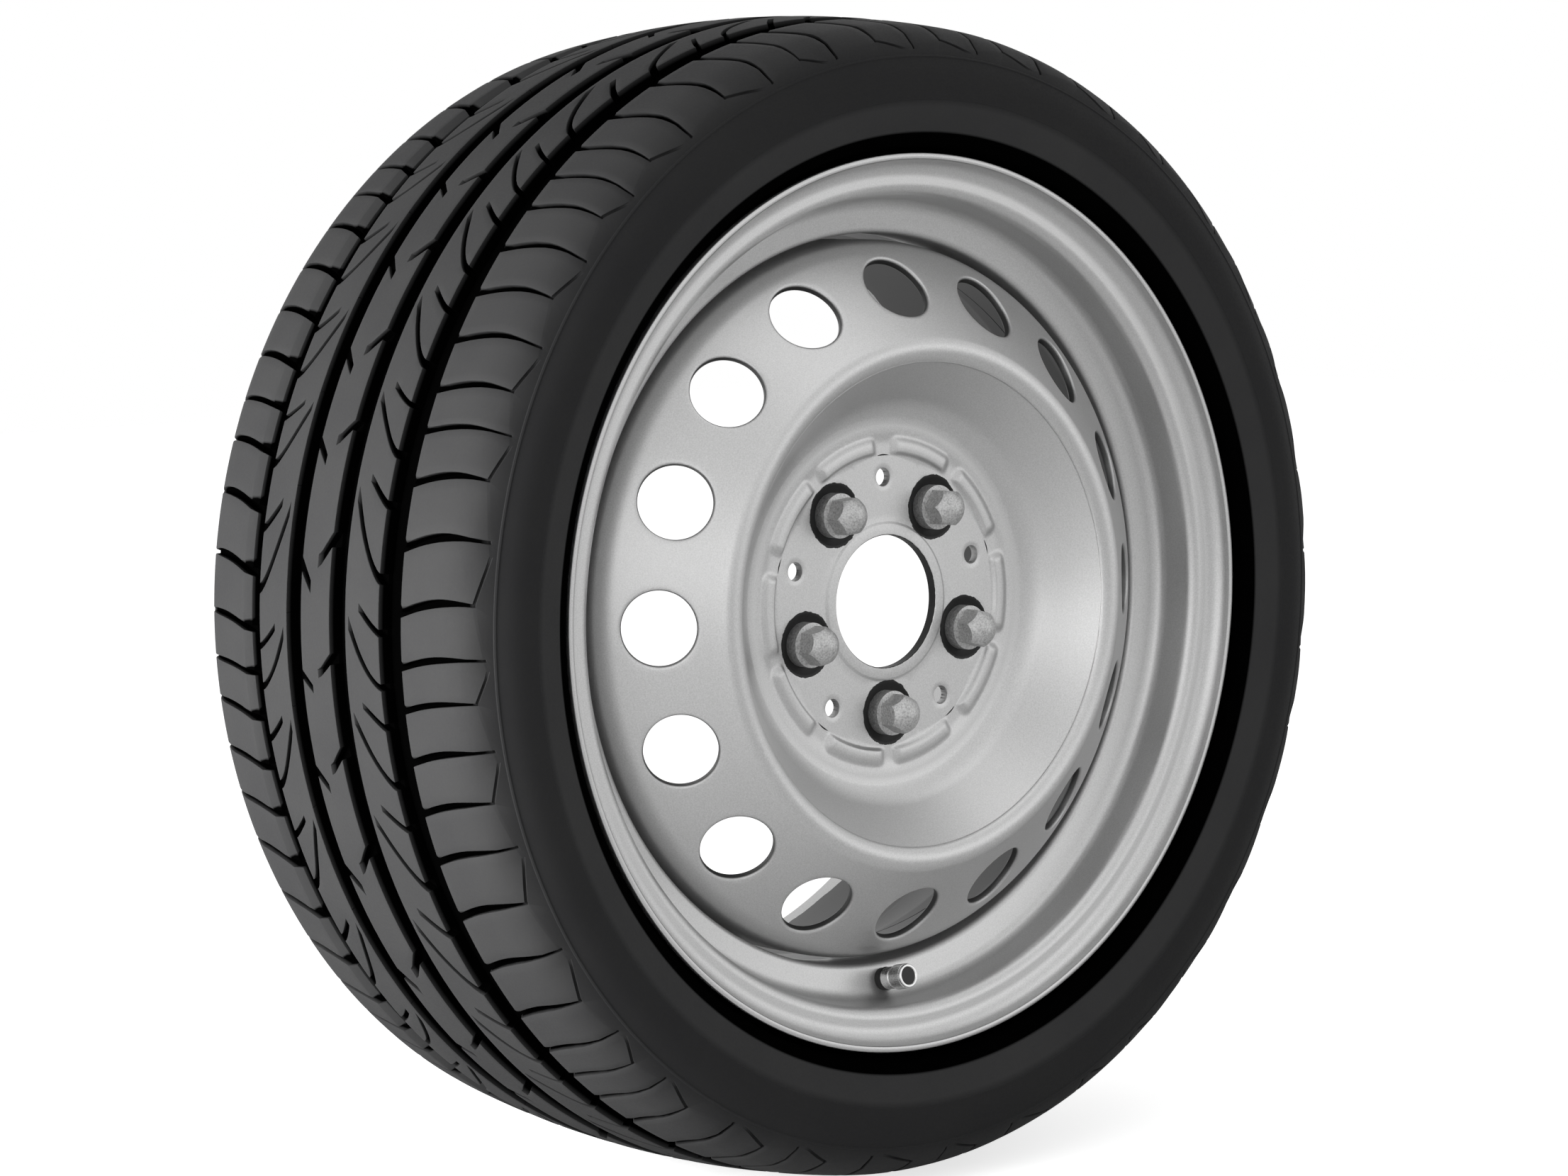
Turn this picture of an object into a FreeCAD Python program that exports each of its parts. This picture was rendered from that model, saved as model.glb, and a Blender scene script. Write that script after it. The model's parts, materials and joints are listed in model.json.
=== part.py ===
import FreeCAD, Part
import math
import os
import Sketcher

# Steel road wheel with a low-profile tyre, wheel bolts and a clamp-in valve.
# The wheel turns about Y, its outer face looks to -Y, and the origin is the middle of the rim.

SIZES = {
    # Rolled rim
    "rim_width": 190.5,
    "flange_lip": 9.5,
    "lip_straight": 0.5,
    "flange_height": 17.5,
    "bead_seat_radius": 202.8,
    "bead_seat_taper": 5.0,
    "bead_seat_length": 23.0,
    "heel_fillet": 6.5,
    "rim_sheet": 3.0,
    "well_radius": 184.0,
    "well_wall_angle": 12.0,
    "well_floor_length": 50.0,
    "well_ramp_length": 42.0,
    "well_fillet": 3.6,
    # Pressed disc
    "disc_sheet": 4.5,
    "hub_face": 77.5,
    "centre_bore_radius": 33.3,
    "bore_land_radius": 39.8,
    "bore_land_height": 0.8,
    "bowl_foot_radius": 95.7,
    "bowl_angle": 52.0,
    "bowl_fillet": 24.0,
    "crown_fillet": 9.0,
    "vent_circle_radius": 157.2,
    "vent_drop": 12.5,
    "vent_slope": 40.0,
    "vent_radius": 18.2,
    "vent_count": 16,
    "skirt_bend": 22.0,
    "skirt_length": 30.0,
    "disc_fit": 0.15,
    "pad_inner_radius": 74.0,
    "pad_outer_radius": 80.0,
    "pad_height": 2.0,
    "pad_wide_gap": 10.0,
    "pad_narrow_gap": 7.0,
    "small_hole_circle": 62.4,
    "small_hole_radius": 4.5,
    "weld_count": 8,
    "weld_angle": 24.0,
    "weld_leg": 4.5,
    "drill_reach": 25.0,
    # Wheel bolts
    "bolt_count": 5,
    "bolt_circle_radius": 56.0,
    "seat_mouth_radius": 16.5,
    "seat_floor_radius": 11.6,
    "seat_depth": 2.0,
    "bolt_hole_radius": 7.6,
    "bolt_cone_radius": 11.2,
    "bolt_flange_height": 6.6,
    "bolt_hex_half": 8.5,
    "bolt_head_top": 19.0,
    "bolt_dome_radius": 10.8,
    "bolt_thread_radius": 7.0,
    "bolt_thread_length": 18.0,
    "bolt_tip_chamfer": 1.2,
    "bolt_neck_radius": 6.2,
    "bolt_neck_length": 4.0,
    # Tyre
    "tyre_radius": 293.5,
    "tyre_crown_drop": 8.0,
    "tread_half_width": 98.0,
    "shoulder_bend": 16.0,
    "section_half_width": 115.5,
    "section_radius": 253.0,
    "shoulder_radius": 279.5,
    "shoulder_half_width": 105.5,
    "buttress_radius": 270.5,
    "buttress_half_width": 110.0,
    "lettering_radius": 238.0,
    "lettering_half_width": 113.0,
    "protector_rise": 7.2,
    "protector_lap": 3.75,
    "rib_rise": 5.0,
    "rib_lap": 3.2,
    "tread_depth": 7.5,
    "groove_wall_angle": 4.5,
    "groove_width": 12.4,
    "inner_groove_place": 17.7,
    "outer_groove_place": 54.5,
    "block_chamfer": 3.2,
    "tread_base": 7.0,
    "sidewall_thickness": 9.0,
    "bead_wall": 3.0,
    "shoulder_wall": 18.0,
    "bead_toe_length": 19.0,
    "bead_clearance": 0.2,
    # Tread pattern, as places along the tread in pitches and lengths on it
    "first_slot_angle": 111.4,
    "short_pitch": 0.81,
    "long_pitch": 1.21,
    "slot_width": 3.4,
    "slot_end_width": 1.8,
    "slot_depth": 6.5,
    "slot_end_depth": 1.5,
    "slot_bow": 4.5,
    "slot_end_shift": 1.8,
    "far_slot_place": 0.53,
    "run_width": 1.6,
    "run_tip_width": 0.8,
    "run_drift": 7.0,
    "run_length": 19.0,
    "run_depth": 1.2,
    "cut_depth": 5.5,
    "sipe_width": 2.4,
    "sipe_reach": 19.3,
    "sipe_sweep": 27.0,
    "sipe_bend_reach": 0.6,
    "sipe_bend_sweep": 0.27,
    "near_sipe_place": 0.45,
    "far_sipe_place": 0.77,
    "notch_reach": 14.0,
    "notch_sweep": 11.4,
    "near_notch_place": 1.33,
    "far_notch_place": 1.83,
    "wedge_width": 4.4,
    "wedge_reach": 8.8,
    "wedge_sweep": 8.6,
    "near_wedge_place": -0.08,
    "far_wedge_place": 0.33,
    # Clamp-in valve
    "valve_hole_radius": 5.85,
    "valve_fit": 0.1,
    "grommet_flange_radius": 6.5,
    "grommet_flange_height": 3.5,
    "grommet_lip_radius": 6.0,
    "grommet_lip_height": 1.5,
    "stem_radius": 3.85,
    "stem_head_radius": 6.4,
    "stem_head_height": 2.5,
    "stem_top": 14.0,
    "stem_bore_radius": 2.65,
    "stem_throat_radius": 1.5,
    "nut_radius": 5.7,
    "nut_height": 5.6,
    "cap_radius": 5.9,
    "cap_gap": 0.3,
    "cap_height": 9.4,
    "cap_roof": 2.2,
    "cap_insert_radius": 4.5,
    "cap_insert_height": 0.9,
    "plug_top": 13.2,
    "plug_bottom": 8.6,
    "gasket_bottom": 6.6,
    "core_bore_radius": 1.0,
    "core_play": 0.05,
    "pin_radius": 0.7,
    "pin_button_radius": 0.92,
    "pin_button_height": 0.9,
    "cup_radius": 2.2,
    "cup_height": 1.4,
    "cup_seal_height": 0.9,
    "spring_foot": -1.0,
    "spring_radius": 1.75,
    "spring_wire_radius": 0.2,
    "spring_turns": 3.0,
}

doc = FreeCAD.newDocument("steel_wheel")
sheet = doc.addObject("Spreadsheet::Sheet", "sizes")
for row, (alias, size) in enumerate(SIZES.items(), start=1):
    sheet.set("A%d" % row, alias)
    sheet.set("B%d" % row, str(size))
    sheet.setAlias("B%d" % row, alias)
doc.recompute()

# Short, middle and long pitches in their order around the tread
PITCH_ORDER = "LLMSSMMMMSMLLMSMMMLLLMSSML" "MSMLLSMMLMSSMLMMSLLMSMMLSMLSSMLMLMSMLLMSMSMLSM"

AXLE = FreeCAD.Vector(0, 1, 0)
CENTRE = FreeCAD.Vector(0, 0, 0)


def size(alias):
    return float(sheet.get(alias))


def value(expression):
    return float(sheet.evalExpression(expression))


def tangent(degrees):
    return math.tan(math.radians(degrees))


def flat(radius, axial):
    return FreeCAD.Vector(radius, axial, 0)


# Outlines: corners with a rounding each, joined by lines and tangent arcs

THROUGH = "through"


def rounded_edges(corners):
    """Edges through (point, rounding) corners; 0 keeps a corner sharp, THROUGH bends an arc over it."""
    edges = []
    start = corners[0][0]
    for k in range(1, len(corners)):
        point, rounding = corners[k]
        if rounding == THROUGH:
            continue
        if corners[k - 1][1] == THROUGH:
            edges.append(Part.Arc(start, corners[k - 1][0], point).toShape())
            start = point
        elif rounding and k < len(corners) - 1:
            before = (corners[k - 1][0] - point).normalize()
            after = (corners[k + 1][0] - point).normalize()
            half_angle = before.getAngle(after) / 2
            setback = rounding / math.tan(half_angle)
            bisector = (before + after).normalize()
            middle = point + bisector * (rounding / math.sin(half_angle) - rounding)
            enter = point + before * setback
            leave = point + after * setback
            if start.distanceToPoint(enter) > 1e-6:
                edges.append(Part.LineSegment(start, enter).toShape())
            edges.append(Part.Arc(enter, middle, leave).toShape())
            start = leave
        else:
            if start.distanceToPoint(point) > 1e-6:
                edges.append(Part.LineSegment(start, point).toShape())
            start = point
    return edges


def rounded_wire(corners):
    return Part.Wire(rounded_edges(corners))


def closed_face(corners):
    return Part.Face(Part.Wire(rounded_edges(corners + [corners[0]])))


def sheet_face(corners, thickness):
    """Section of bent sheet: the outline of one side, thickened to the other."""
    return rounded_wire(corners).makeOffset2D(thickness, 0, True, True, False)


def turned(face, angle=360.0):
    return face.revolve(CENTRE, AXLE, angle)


def wheel_place(radius, axial, degrees):
    """Local X points outwards, local Z along the axle, at this angle around the wheel."""
    spin = FreeCAD.Rotation(AXLE, -degrees)
    lay = FreeCAD.Rotation(FreeCAD.Vector(1, 0, 0), -90)
    base = spin.multVec(FreeCAD.Vector(radius, axial, 0))
    return FreeCAD.Placement(base, spin.multiply(lay))


def part_feature(label, shape):
    feature = doc.addObject("Part::Feature", label)
    feature.Shape = shape
    return feature


# Rim

rim_half = size("rim_width") / 2
flange_radius = size("bead_seat_radius") + size("flange_height")
lip_face = rim_half + size("flange_lip")
seat_drop = size("bead_seat_length") * tangent(size("bead_seat_taper"))
seat_end_radius = size("bead_seat_radius") - seat_drop
seat_end = rim_half - size("bead_seat_length")
wall_run = (seat_end_radius - size("well_radius")) * tangent(size("well_wall_angle"))
well_start = -seat_end + wall_run
well_end = well_start + size("well_floor_length")
ramp_end = well_end + size("well_ramp_length")


def flange_curl(side):
    lip = flat(flange_radius, side * lip_face)
    turn = flat(flange_radius, side * rim_half)
    return lip, turn


def build_rim():
    outer_lip, outer_turn = flange_curl(-1)
    inner_lip, inner_turn = flange_curl(1)
    heel = size("heel_fillet")
    fillet = size("well_fillet")
    side = [
        (outer_lip, 0),
        (outer_turn, size("flange_lip") - size("lip_straight")),
        (flat(size("bead_seat_radius"), -rim_half), heel),
        (flat(seat_end_radius, -seat_end), fillet),
        (flat(size("well_radius"), well_start), fillet),
        (flat(size("well_radius"), well_end), 0),
        (flat(seat_end_radius, ramp_end), 0),
        (flat(seat_end_radius, seat_end), 0),
        (flat(size("bead_seat_radius"), rim_half), heel),
        (inner_turn, size("flange_lip") - size("lip_straight")),
        (inner_lip, 0),
    ]
    return turned(sheet_face(side, -size("rim_sheet")))


# Disc

disc_front = -size("hub_face")
mounting_face = disc_front + size("disc_sheet")
skirt_radius = size("well_radius") - size("rim_sheet") - size("disc_fit")
vent_line = size("vent_slope")
bowl_line = size("bowl_angle")
crown_radius = (
    size("bowl_foot_radius") * tangent(bowl_line)
    + size("vent_circle_radius") * tangent(vent_line)
    + size("vent_drop")
) / (tangent(bowl_line) + tangent(vent_line))
crown_front = disc_front - (crown_radius - size("bowl_foot_radius")) * tangent(bowl_line)
vent_front = disc_front - size("vent_drop")
skirt_turn = vent_front + (skirt_radius - size("vent_circle_radius")) * tangent(vent_line)
skirt_end = skirt_turn + size("skirt_length")
bolt_start = 90.0 - 180.0 / size("bolt_count")


def pad_spans():
    """Start and end angle of each raised pad, between a wide and a narrow channel."""
    half_step = 180.0 / size("bolt_count")
    wide = size("pad_wide_gap") / 2
    narrow = size("pad_narrow_gap") / 2
    for k in range(int(size("bolt_count"))):
        hole = 90.0 + 2 * half_step * k
        yield hole + wide, hole + half_step - narrow
        yield hole - half_step + narrow, hole - wide


def pad_section(front):
    """Section of a raised pad, standing on the hub face at this axial place."""
    inner = size("pad_inner_radius")
    outer = size("pad_outer_radius")
    tall = size("pad_height")
    root = front + tall / 2
    corners = [
        (flat(inner, root), 0),
        (flat(inner + tall / 2, front - tall), 0),
        (flat(outer, front - tall), 0),
        (flat(outer + 2 * tall, root), 0),
    ]
    return closed_face(corners)


def spread_pads(front):
    pads = []
    for start, end in pad_spans():
        pad = turned(pad_section(front), end - start)
        pad.rotate(CENTRE, AXLE, -end)
        pads.append(pad)
    return pads


def axial_cutter(radius, circle, degrees):
    reach = size("drill_reach")
    cutter = Part.makeCylinder(radius, 2 * reach, FreeCAD.Vector(0, 0, -reach))
    cutter.Placement = wheel_place(circle, disc_front, degrees)
    return cutter


def vent_cutter(degrees):
    reach = size("drill_reach")
    cutter = Part.makeCylinder(size("vent_radius"), 2 * reach, FreeCAD.Vector(0, 0, -reach))
    tilt = FreeCAD.Rotation(FreeCAD.Vector(0, 1, 0), -vent_line)
    place = wheel_place(size("vent_circle_radius"), vent_front, degrees)
    cutter.Placement = FreeCAD.Placement(place.Base, place.Rotation.multiply(tilt))
    return cutter


def seat_cutter(degrees):
    mouth = Part.makeCone(
        size("seat_mouth_radius"), size("seat_floor_radius"), size("seat_depth")
    )
    mouth.Placement = wheel_place(size("bolt_circle_radius"), disc_front, degrees)
    return mouth


def build_disc():
    land = size("bore_land_height")
    front = [
        (flat(size("centre_bore_radius"), disc_front), 0),
        (flat(size("bowl_foot_radius"), disc_front), size("bowl_fillet")),
        (flat(crown_radius, crown_front), size("crown_fillet")),
        (flat(skirt_radius, skirt_turn), size("skirt_bend")),
        (flat(skirt_radius, skirt_end), 0),
    ]
    pressing = turned(sheet_face(front, -size("disc_sheet")))
    ring = [
        (flat(size("centre_bore_radius"), disc_front + land), 0),
        (flat(size("centre_bore_radius"), disc_front - land), 0),
        (flat(size("bore_land_radius") - land, disc_front - land), 0),
        (flat(size("bore_land_radius") + land, disc_front + land), 0),
    ]
    raised = spread_pads(disc_front) + [turned(closed_face(ring))]
    pressing = pressing.fuse(raised)
    bolt_step = 360.0 / size("bolt_count")
    cutters = []
    for k in range(int(size("bolt_count"))):
        bolt_angle = bolt_start + bolt_step * k
        cutters.append(seat_cutter(bolt_angle))
        cutters.append(
            axial_cutter(size("bolt_hole_radius"), size("bolt_circle_radius"), bolt_angle)
        )
        cutters.append(
            axial_cutter(size("small_hole_radius"), size("small_hole_circle"), 90.0 + bolt_step * k)
        )
    vent_step = 360.0 / size("vent_count")
    cutters += [vent_cutter(vent_step * k) for k in range(int(size("vent_count")))]
    return pressing.cut(cutters).removeSplitter()


def build_disc_welds():
    """Fillet welds between the skirt's inner edge and the rim well, spaced around."""
    rim_inside = size("well_radius") - size("rim_sheet")
    leg = size("weld_leg")
    section = closed_face([
        (flat(rim_inside, skirt_end), 0),
        (flat(rim_inside, skirt_end + leg), 0),
        (flat(rim_inside - leg, skirt_end), 0),
    ])
    step = 360.0 / size("weld_count")
    beads = []
    for k in range(int(size("weld_count"))):
        bead = turned(section, size("weld_angle"))
        bead.rotate(CENTRE, AXLE, step * (k + 0.5))
        beads.append(bead)
    return Part.makeCompound(beads)


# Tyre

def crown_height(axial):
    """Tread radius at an axial place: flat in the middle, falling to the shoulders."""
    share = abs(axial) / size("tread_half_width")
    return size("tyre_radius") - size("tyre_crown_drop") * share ** 2


def groove_corners(place):
    """A tread groove from its inboard wall to its outboard wall."""
    half = size("groove_width") / 2
    floor = crown_height(place) - size("tread_depth")
    slope = size("tread_depth") * tangent(size("groove_wall_angle"))
    return [
        (flat(crown_height(place + half), place + half), 0),
        (flat(floor, place + half - slope), 0),
        (flat(floor, place - half + slope), 0),
        (flat(crown_height(place - half), place - half), 0),
    ]


def outer_groove_corners(side):
    """An outer groove, with the chamfer along the shoulder blocks beside it."""
    edge = size("outer_groove_place") + size("groove_width") / 2
    cut = size("block_chamfer")
    chamfer = [
        (flat(crown_height(edge + cut), side * (edge + cut)), 0),
        (flat(crown_height(edge) - cut, side * edge), 0),
    ]
    corners = groove_corners(side * size("outer_groove_place"))
    return chamfer + corners[1:] if side > 0 else corners[:-1] + list(reversed(chamfer))


def tyre_side(side):
    """Outer corners of one side, from the shoulder to the bead toe."""
    clear = size("bead_clearance")
    edge = size("tread_half_width") - size("shoulder_bend")
    heel = rim_half - clear
    toe = rim_half - size("bead_toe_length")
    toe_drop = size("bead_toe_length") * tangent(size("bead_seat_taper"))
    seat = size("bead_seat_radius") + clear
    return [
        (flat(crown_height(edge), side * edge), 0),
        (flat(crown_height(size("tread_half_width")), side * size("tread_half_width")), THROUGH),
        (flat(size("shoulder_radius"), side * size("shoulder_half_width")), 0),
        (flat(size("buttress_radius"), side * size("buttress_half_width")), 0),
        (flat(size("section_radius"), side * size("section_half_width")), THROUGH),
        (flat(size("lettering_radius"), side * size("lettering_half_width")), 0),
        (flat(flange_radius + size("protector_rise"), side * (lip_face + size("protector_lap"))), 0),
        (flat(flange_radius + size("rib_rise"), side * (rim_half + size("rib_lap"))), 0),
        (flat(flange_radius - size("rib_rise"), side * heel), 0),
        (flat(seat + size("heel_fillet"), side * heel), 0),
        (flat(seat, side * (heel - size("heel_fillet"))), 0),
        (flat(seat - toe_drop, side * toe), 0),
    ]


def tyre_cavity(side):
    """Inner corners of one side, from the bead toe to the crown."""
    toe = rim_half - size("bead_toe_length")
    wall = size("sidewall_thickness")
    shoulder = size("shoulder_half_width") - size("shoulder_wall")
    crown = size("tread_depth") + size("tread_base")
    return [
        (flat(flange_radius, side * (toe + size("bead_wall"))), 0),
        (flat(size("section_radius"), side * (size("section_half_width") - wall)), 0),
        (flat(size("buttress_radius") - size("bead_wall"), side * (size("buttress_half_width") - wall)), 0),
        (flat(crown_height(shoulder) - crown, side * shoulder), 0),
    ]


def pitch_angles():
    """Angle of each pitch line, from the order of the short, middle and long pitches."""
    shares = {"S": size("short_pitch"), "M": 1.0, "L": size("long_pitch")}
    whole = sum(shares[letter] for letter in PITCH_ORDER)
    angle = size("first_slot_angle")
    angles = []
    for letter in PITCH_ORDER:
        angles.append(angle)
        angle += 360.0 * shares[letter] / whole
    return angles


def tread_angle(place):
    """Angle at a place counted in pitches from the first slot."""
    lines = pitch_angles()
    count = len(lines)
    k = math.floor(place)
    start = lines[k % count]
    step = (lines[(k + 1) % count] - start) % 360.0
    return start + step * (place - k)


def tread_spot(axial, around):
    """A spot on the plane that touches the tread, with around in the sense of the angles."""
    return FreeCAD.Vector(0, -around, axial)


def arc_edge(start, middle, end):
    return Part.Arc(start, middle, end).toShape()


def line_edge(start, end):
    return Part.LineSegment(start, end).toShape()


def sink_outline(edges, height):
    return Part.Face(Part.Wire(edges)).extrude(FreeCAD.Vector(height, 0, 0))


def slot_cutter(side, degrees):
    """A bowed cross slot from an outer groove out through the shoulder, its floor falling outwards."""
    half = size("slot_width") / 2
    end_half = size("slot_end_width") / 2
    middle_half = (half + end_half) / 2
    start = size("outer_groove_place")
    run = size("shoulder_half_width") - start
    reach = size("section_half_width") - start
    floor = crown_height(start) - size("slot_depth")
    fall = floor - (size("shoulder_radius") - size("slot_end_depth"))
    middle = -size("slot_bow")
    end = -size("slot_end_shift")

    def spot(axial, around):
        return tread_spot(side * axial, around)

    outline = [
        arc_edge(spot(0, -half), spot(reach / 2, middle - middle_half), spot(reach, end - end_half)),
        line_edge(spot(reach, end - end_half), spot(reach, end + end_half)),
        arc_edge(spot(reach, end + end_half), spot(reach / 2, middle + middle_half), spot(0, half)),
        line_edge(spot(0, half), spot(0, -half)),
    ]
    cutter = sink_outline(outline, 2 * size("tread_depth"))
    tilt = FreeCAD.Rotation(FreeCAD.Vector(0, 1, 0), -side * math.degrees(math.atan2(fall, run)))
    place = wheel_place(floor, side * start, degrees)
    cutter.Placement = FreeCAD.Placement(place.Base, place.Rotation.multiply(tilt))
    return cutter


def run_cutter(side, degrees):
    """The run that turns off a slot's outer end, along the shoulder and down it to a narrow tip."""
    half = size("run_width") / 2
    tip = size("run_tip_width") / 2
    drift = size("run_drift")
    length = size("run_length")
    shift = size("slot_end_shift")
    down = size("shoulder_radius") - size("buttress_radius")
    out = size("buttress_half_width") - size("shoulder_half_width")

    def spot(along, around):
        return tread_spot(side * along, around - shift)

    corners = [spot(-half, half), spot(half, half), spot(drift + tip, -length), spot(drift - tip, -length)]
    outline = [line_edge(corners[k - 1], corners[k]) for k in range(4)]
    cutter = sink_outline(outline, 2 * size("run_depth"))
    cutter.translate(FreeCAD.Vector(-size("run_depth"), 0, 0))
    tilt = FreeCAD.Rotation(FreeCAD.Vector(0, 1, 0), -side * math.degrees(math.atan2(down, out)))
    place = wheel_place(size("shoulder_radius"), side * size("shoulder_half_width"), degrees)
    seat = FreeCAD.Placement(place.Base, place.Rotation.multiply(tilt))
    cutter.transformShape(seat.toMatrix())
    return cutter


def rib_cutter(side, reach, sweep, degrees):
    """A bowed cut from an outer groove into the rib beside it, narrowing to its tip."""
    half = size("sipe_width") / 2
    mouth = size("outer_groove_place")
    edge = mouth - size("groove_width") / 2

    def spot(axial, around):
        return tread_spot(side * axial, around)

    tip = spot(edge - reach, -sweep)
    bend = edge - size("sipe_bend_reach") * reach
    turn = -size("sipe_bend_sweep") * sweep
    low = arc_edge(spot(mouth, -half), spot(bend + half / 2, turn - half / 2), tip)
    high = arc_edge(tip, spot(bend - half / 2, turn + half / 2), spot(mouth, half))
    cutter = sink_outline([low, high, line_edge(spot(mouth, half), spot(mouth, -half))], 2 * size("cut_depth"))
    cutter.Placement = wheel_place(crown_height(edge) - size("cut_depth"), 0, degrees)
    return cutter


def wedge_cutter(side, degrees):
    """A wedge from an inner groove into the middle rib."""
    half = size("wedge_width") / 2
    mouth = size("inner_groove_place")
    edge = mouth - size("groove_width") / 2
    corners = [
        tread_spot(side * mouth, -half),
        tread_spot(side * mouth, half),
        tread_spot(side * edge, half),
        tread_spot(side * (edge - size("wedge_reach")), size("wedge_sweep")),
        tread_spot(side * edge, -half),
    ]
    outline = [line_edge(corners[k - 1], corners[k]) for k in range(len(corners))]
    cutter = sink_outline(outline, 2 * size("cut_depth"))
    cutter.Placement = wheel_place(crown_height(0) - size("cut_depth"), 0, degrees)
    return cutter


def pattern_cutters(side, slot_place, sipe_place, notch_place, wedge_place):
    """All cuts on one half of the tread; the pattern repeats every two pitches."""
    cutters = []
    for pitch in range(0, len(PITCH_ORDER), 2):
        plain = tread_angle(pitch + slot_place)
        turning = tread_angle(pitch + 1 + slot_place)
        cutters += [slot_cutter(side, plain), slot_cutter(side, turning), run_cutter(side, turning)]
        sipe = tread_angle(pitch + sipe_place)
        notch = tread_angle(pitch + notch_place)
        cutters.append(rib_cutter(side, size("sipe_reach"), size("sipe_sweep"), sipe))
        cutters.append(rib_cutter(side, size("notch_reach"), size("notch_sweep"), notch))
        cutters.append(wedge_cutter(side, tread_angle(pitch + wedge_place)))
    return cutters


def build_tyre():
    inner = size("inner_groove_place")
    corners = list(reversed(tyre_side(1))) + outer_groove_corners(1)
    corners += groove_corners(inner) + groove_corners(-inner)
    corners += outer_groove_corners(-1) + tyre_side(-1)
    corners += tyre_cavity(-1) + list(reversed(tyre_cavity(1)))
    casing = turned(closed_face(corners))
    near = pattern_cutters(-1, 0, size("near_sipe_place"), size("near_notch_place"), size("near_wedge_place"))
    far = pattern_cutters(
        1, size("far_slot_place"), size("far_sipe_place"), size("far_notch_place"), size("far_wedge_place")
    )
    return casing.cut(near + far)


# Turned pieces: a body with one fully sized sketch revolved about its own Z

def lathe_body(label, outline, place):
    body = doc.addObject("PartDesign::Body", label)
    sketch = body.newObject("Sketcher::SketchObject", label + "_section")
    plane = [f for f in body.Origin.OriginFeatures if f.Role == "XZ_Plane"][0]
    sketch.AttachmentSupport = [(plane, "")]
    sketch.MapMode = "FlatFace"
    corners = [FreeCAD.Vector(value(r), value(z), 0) for r, z in outline]
    count = len(corners)
    for k in range(count):
        sketch.addGeometry(Part.LineSegment(corners[k], corners[(k + 1) % count]))
    for k in range(count):
        sketch.addConstraint(Sketcher.Constraint("Coincident", k, 2, (k + 1) % count, 1))
    for k, (radius, height) in enumerate(outline):
        if radius == "0":
            sketch.addConstraint(Sketcher.Constraint("PointOnObject", k, 1, -2))
        else:
            place_size(sketch, "DistanceX", k, corners[k].x, radius)
        if height == "0":
            sketch.addConstraint(Sketcher.Constraint("PointOnObject", k, 1, -1))
        else:
            place_size(sketch, "DistanceY", k, corners[k].y, height)
    turn = body.newObject("PartDesign::Revolution", label + "_turn")
    turn.Profile = sketch
    turn.ReferenceAxis = (sketch, ["V_Axis"])
    turn.Angle = 360.0
    body.Placement = place
    return body


def place_size(sketch, kind, corner, start, expression):
    index = sketch.addConstraint(Sketcher.Constraint(kind, -1, 1, corner, 1, start))
    words = sheet_names(expression)
    sketch.setExpression("Constraints[%d]" % index, words)


def sheet_names(expression):
    """The expression with each alias written as a cell of the sizes sheet."""
    words = expression.replace("(", " ( ").replace(")", " ) ").split()
    return " ".join("sizes." + w if w in SIZES else w for w in words)


# Wheel bolts

def build_bolt_blank():
    outline = [
        ("0", "0 - bolt_thread_length"),
        ("bolt_thread_radius - bolt_tip_chamfer", "0 - bolt_thread_length"),
        ("bolt_thread_radius", "bolt_tip_chamfer - bolt_thread_length"),
        ("bolt_thread_radius", "0 - bolt_neck_length"),
        ("bolt_neck_radius", "bolt_thread_radius - bolt_neck_radius - bolt_neck_length"),
        ("bolt_neck_radius", "0"),
        ("bolt_cone_radius", "0"),
        ("bolt_cone_radius", "bolt_flange_height"),
        ("bolt_hex_half", "bolt_flange_height + seat_depth / 4"),
        ("0", "bolt_flange_height + seat_depth / 4"),
    ]
    blank = lathe_body("bolt_blank", outline, FreeCAD.Placement())
    hexagon = doc.addObject("Part::Prism", "bolt_hexagon")
    hexagon.Polygon = 6
    hexagon.setExpression("Circumradius", "sizes.bolt_hex_half / cos(30 deg)")
    hexagon.setExpression("Height", sheet_names("bolt_head_top + seat_depth"))
    dome = doc.addObject("Part::Sphere", "bolt_dome")
    dome.setExpression("Radius", "sizes.bolt_dome_radius")
    dome.setExpression("Placement.Base.z", sheet_names("bolt_head_top + seat_depth - bolt_dome_radius"))
    head = doc.addObject("Part::Common", "bolt_head")
    head.Base = hexagon
    head.Tool = dome
    bolt = doc.addObject("Part::Fuse", "bolt_pattern_piece")
    bolt.Base = blank
    bolt.Tool = head
    return bolt


def build_wheel_bolts(bolt):
    step = 360.0 / size("bolt_count")
    pieces = []
    for k in range(int(size("bolt_count"))):
        piece = bolt.Shape.copy()
        place = wheel_place(size("bolt_circle_radius"), disc_front + size("seat_depth"), bolt_start + step * k)
        flip = FreeCAD.Rotation(FreeCAD.Vector(1, 0, 0), 180)
        piece.Placement = FreeCAD.Placement(place.Base, place.Rotation.multiply(flip))
        pieces.append(piece)
    return Part.makeCompound(pieces)


# Valve: local Z points out of the rim along the valve, zero is the rim's open side

def valve_place():
    middle = (seat_end_radius + size("well_radius")) / 2
    along = -seat_end + wall_run / 2
    lean = math.radians(size("well_wall_angle"))
    sheet_gap = size("rim_sheet")
    outward = FreeCAD.Vector(0, -math.cos(lean), math.sin(lean))
    base = FreeCAD.Vector(0, along, -middle) + outward * sheet_gap
    return FreeCAD.Placement(base, FreeCAD.Rotation(FreeCAD.Vector(0, 0, 1), outward))


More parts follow.
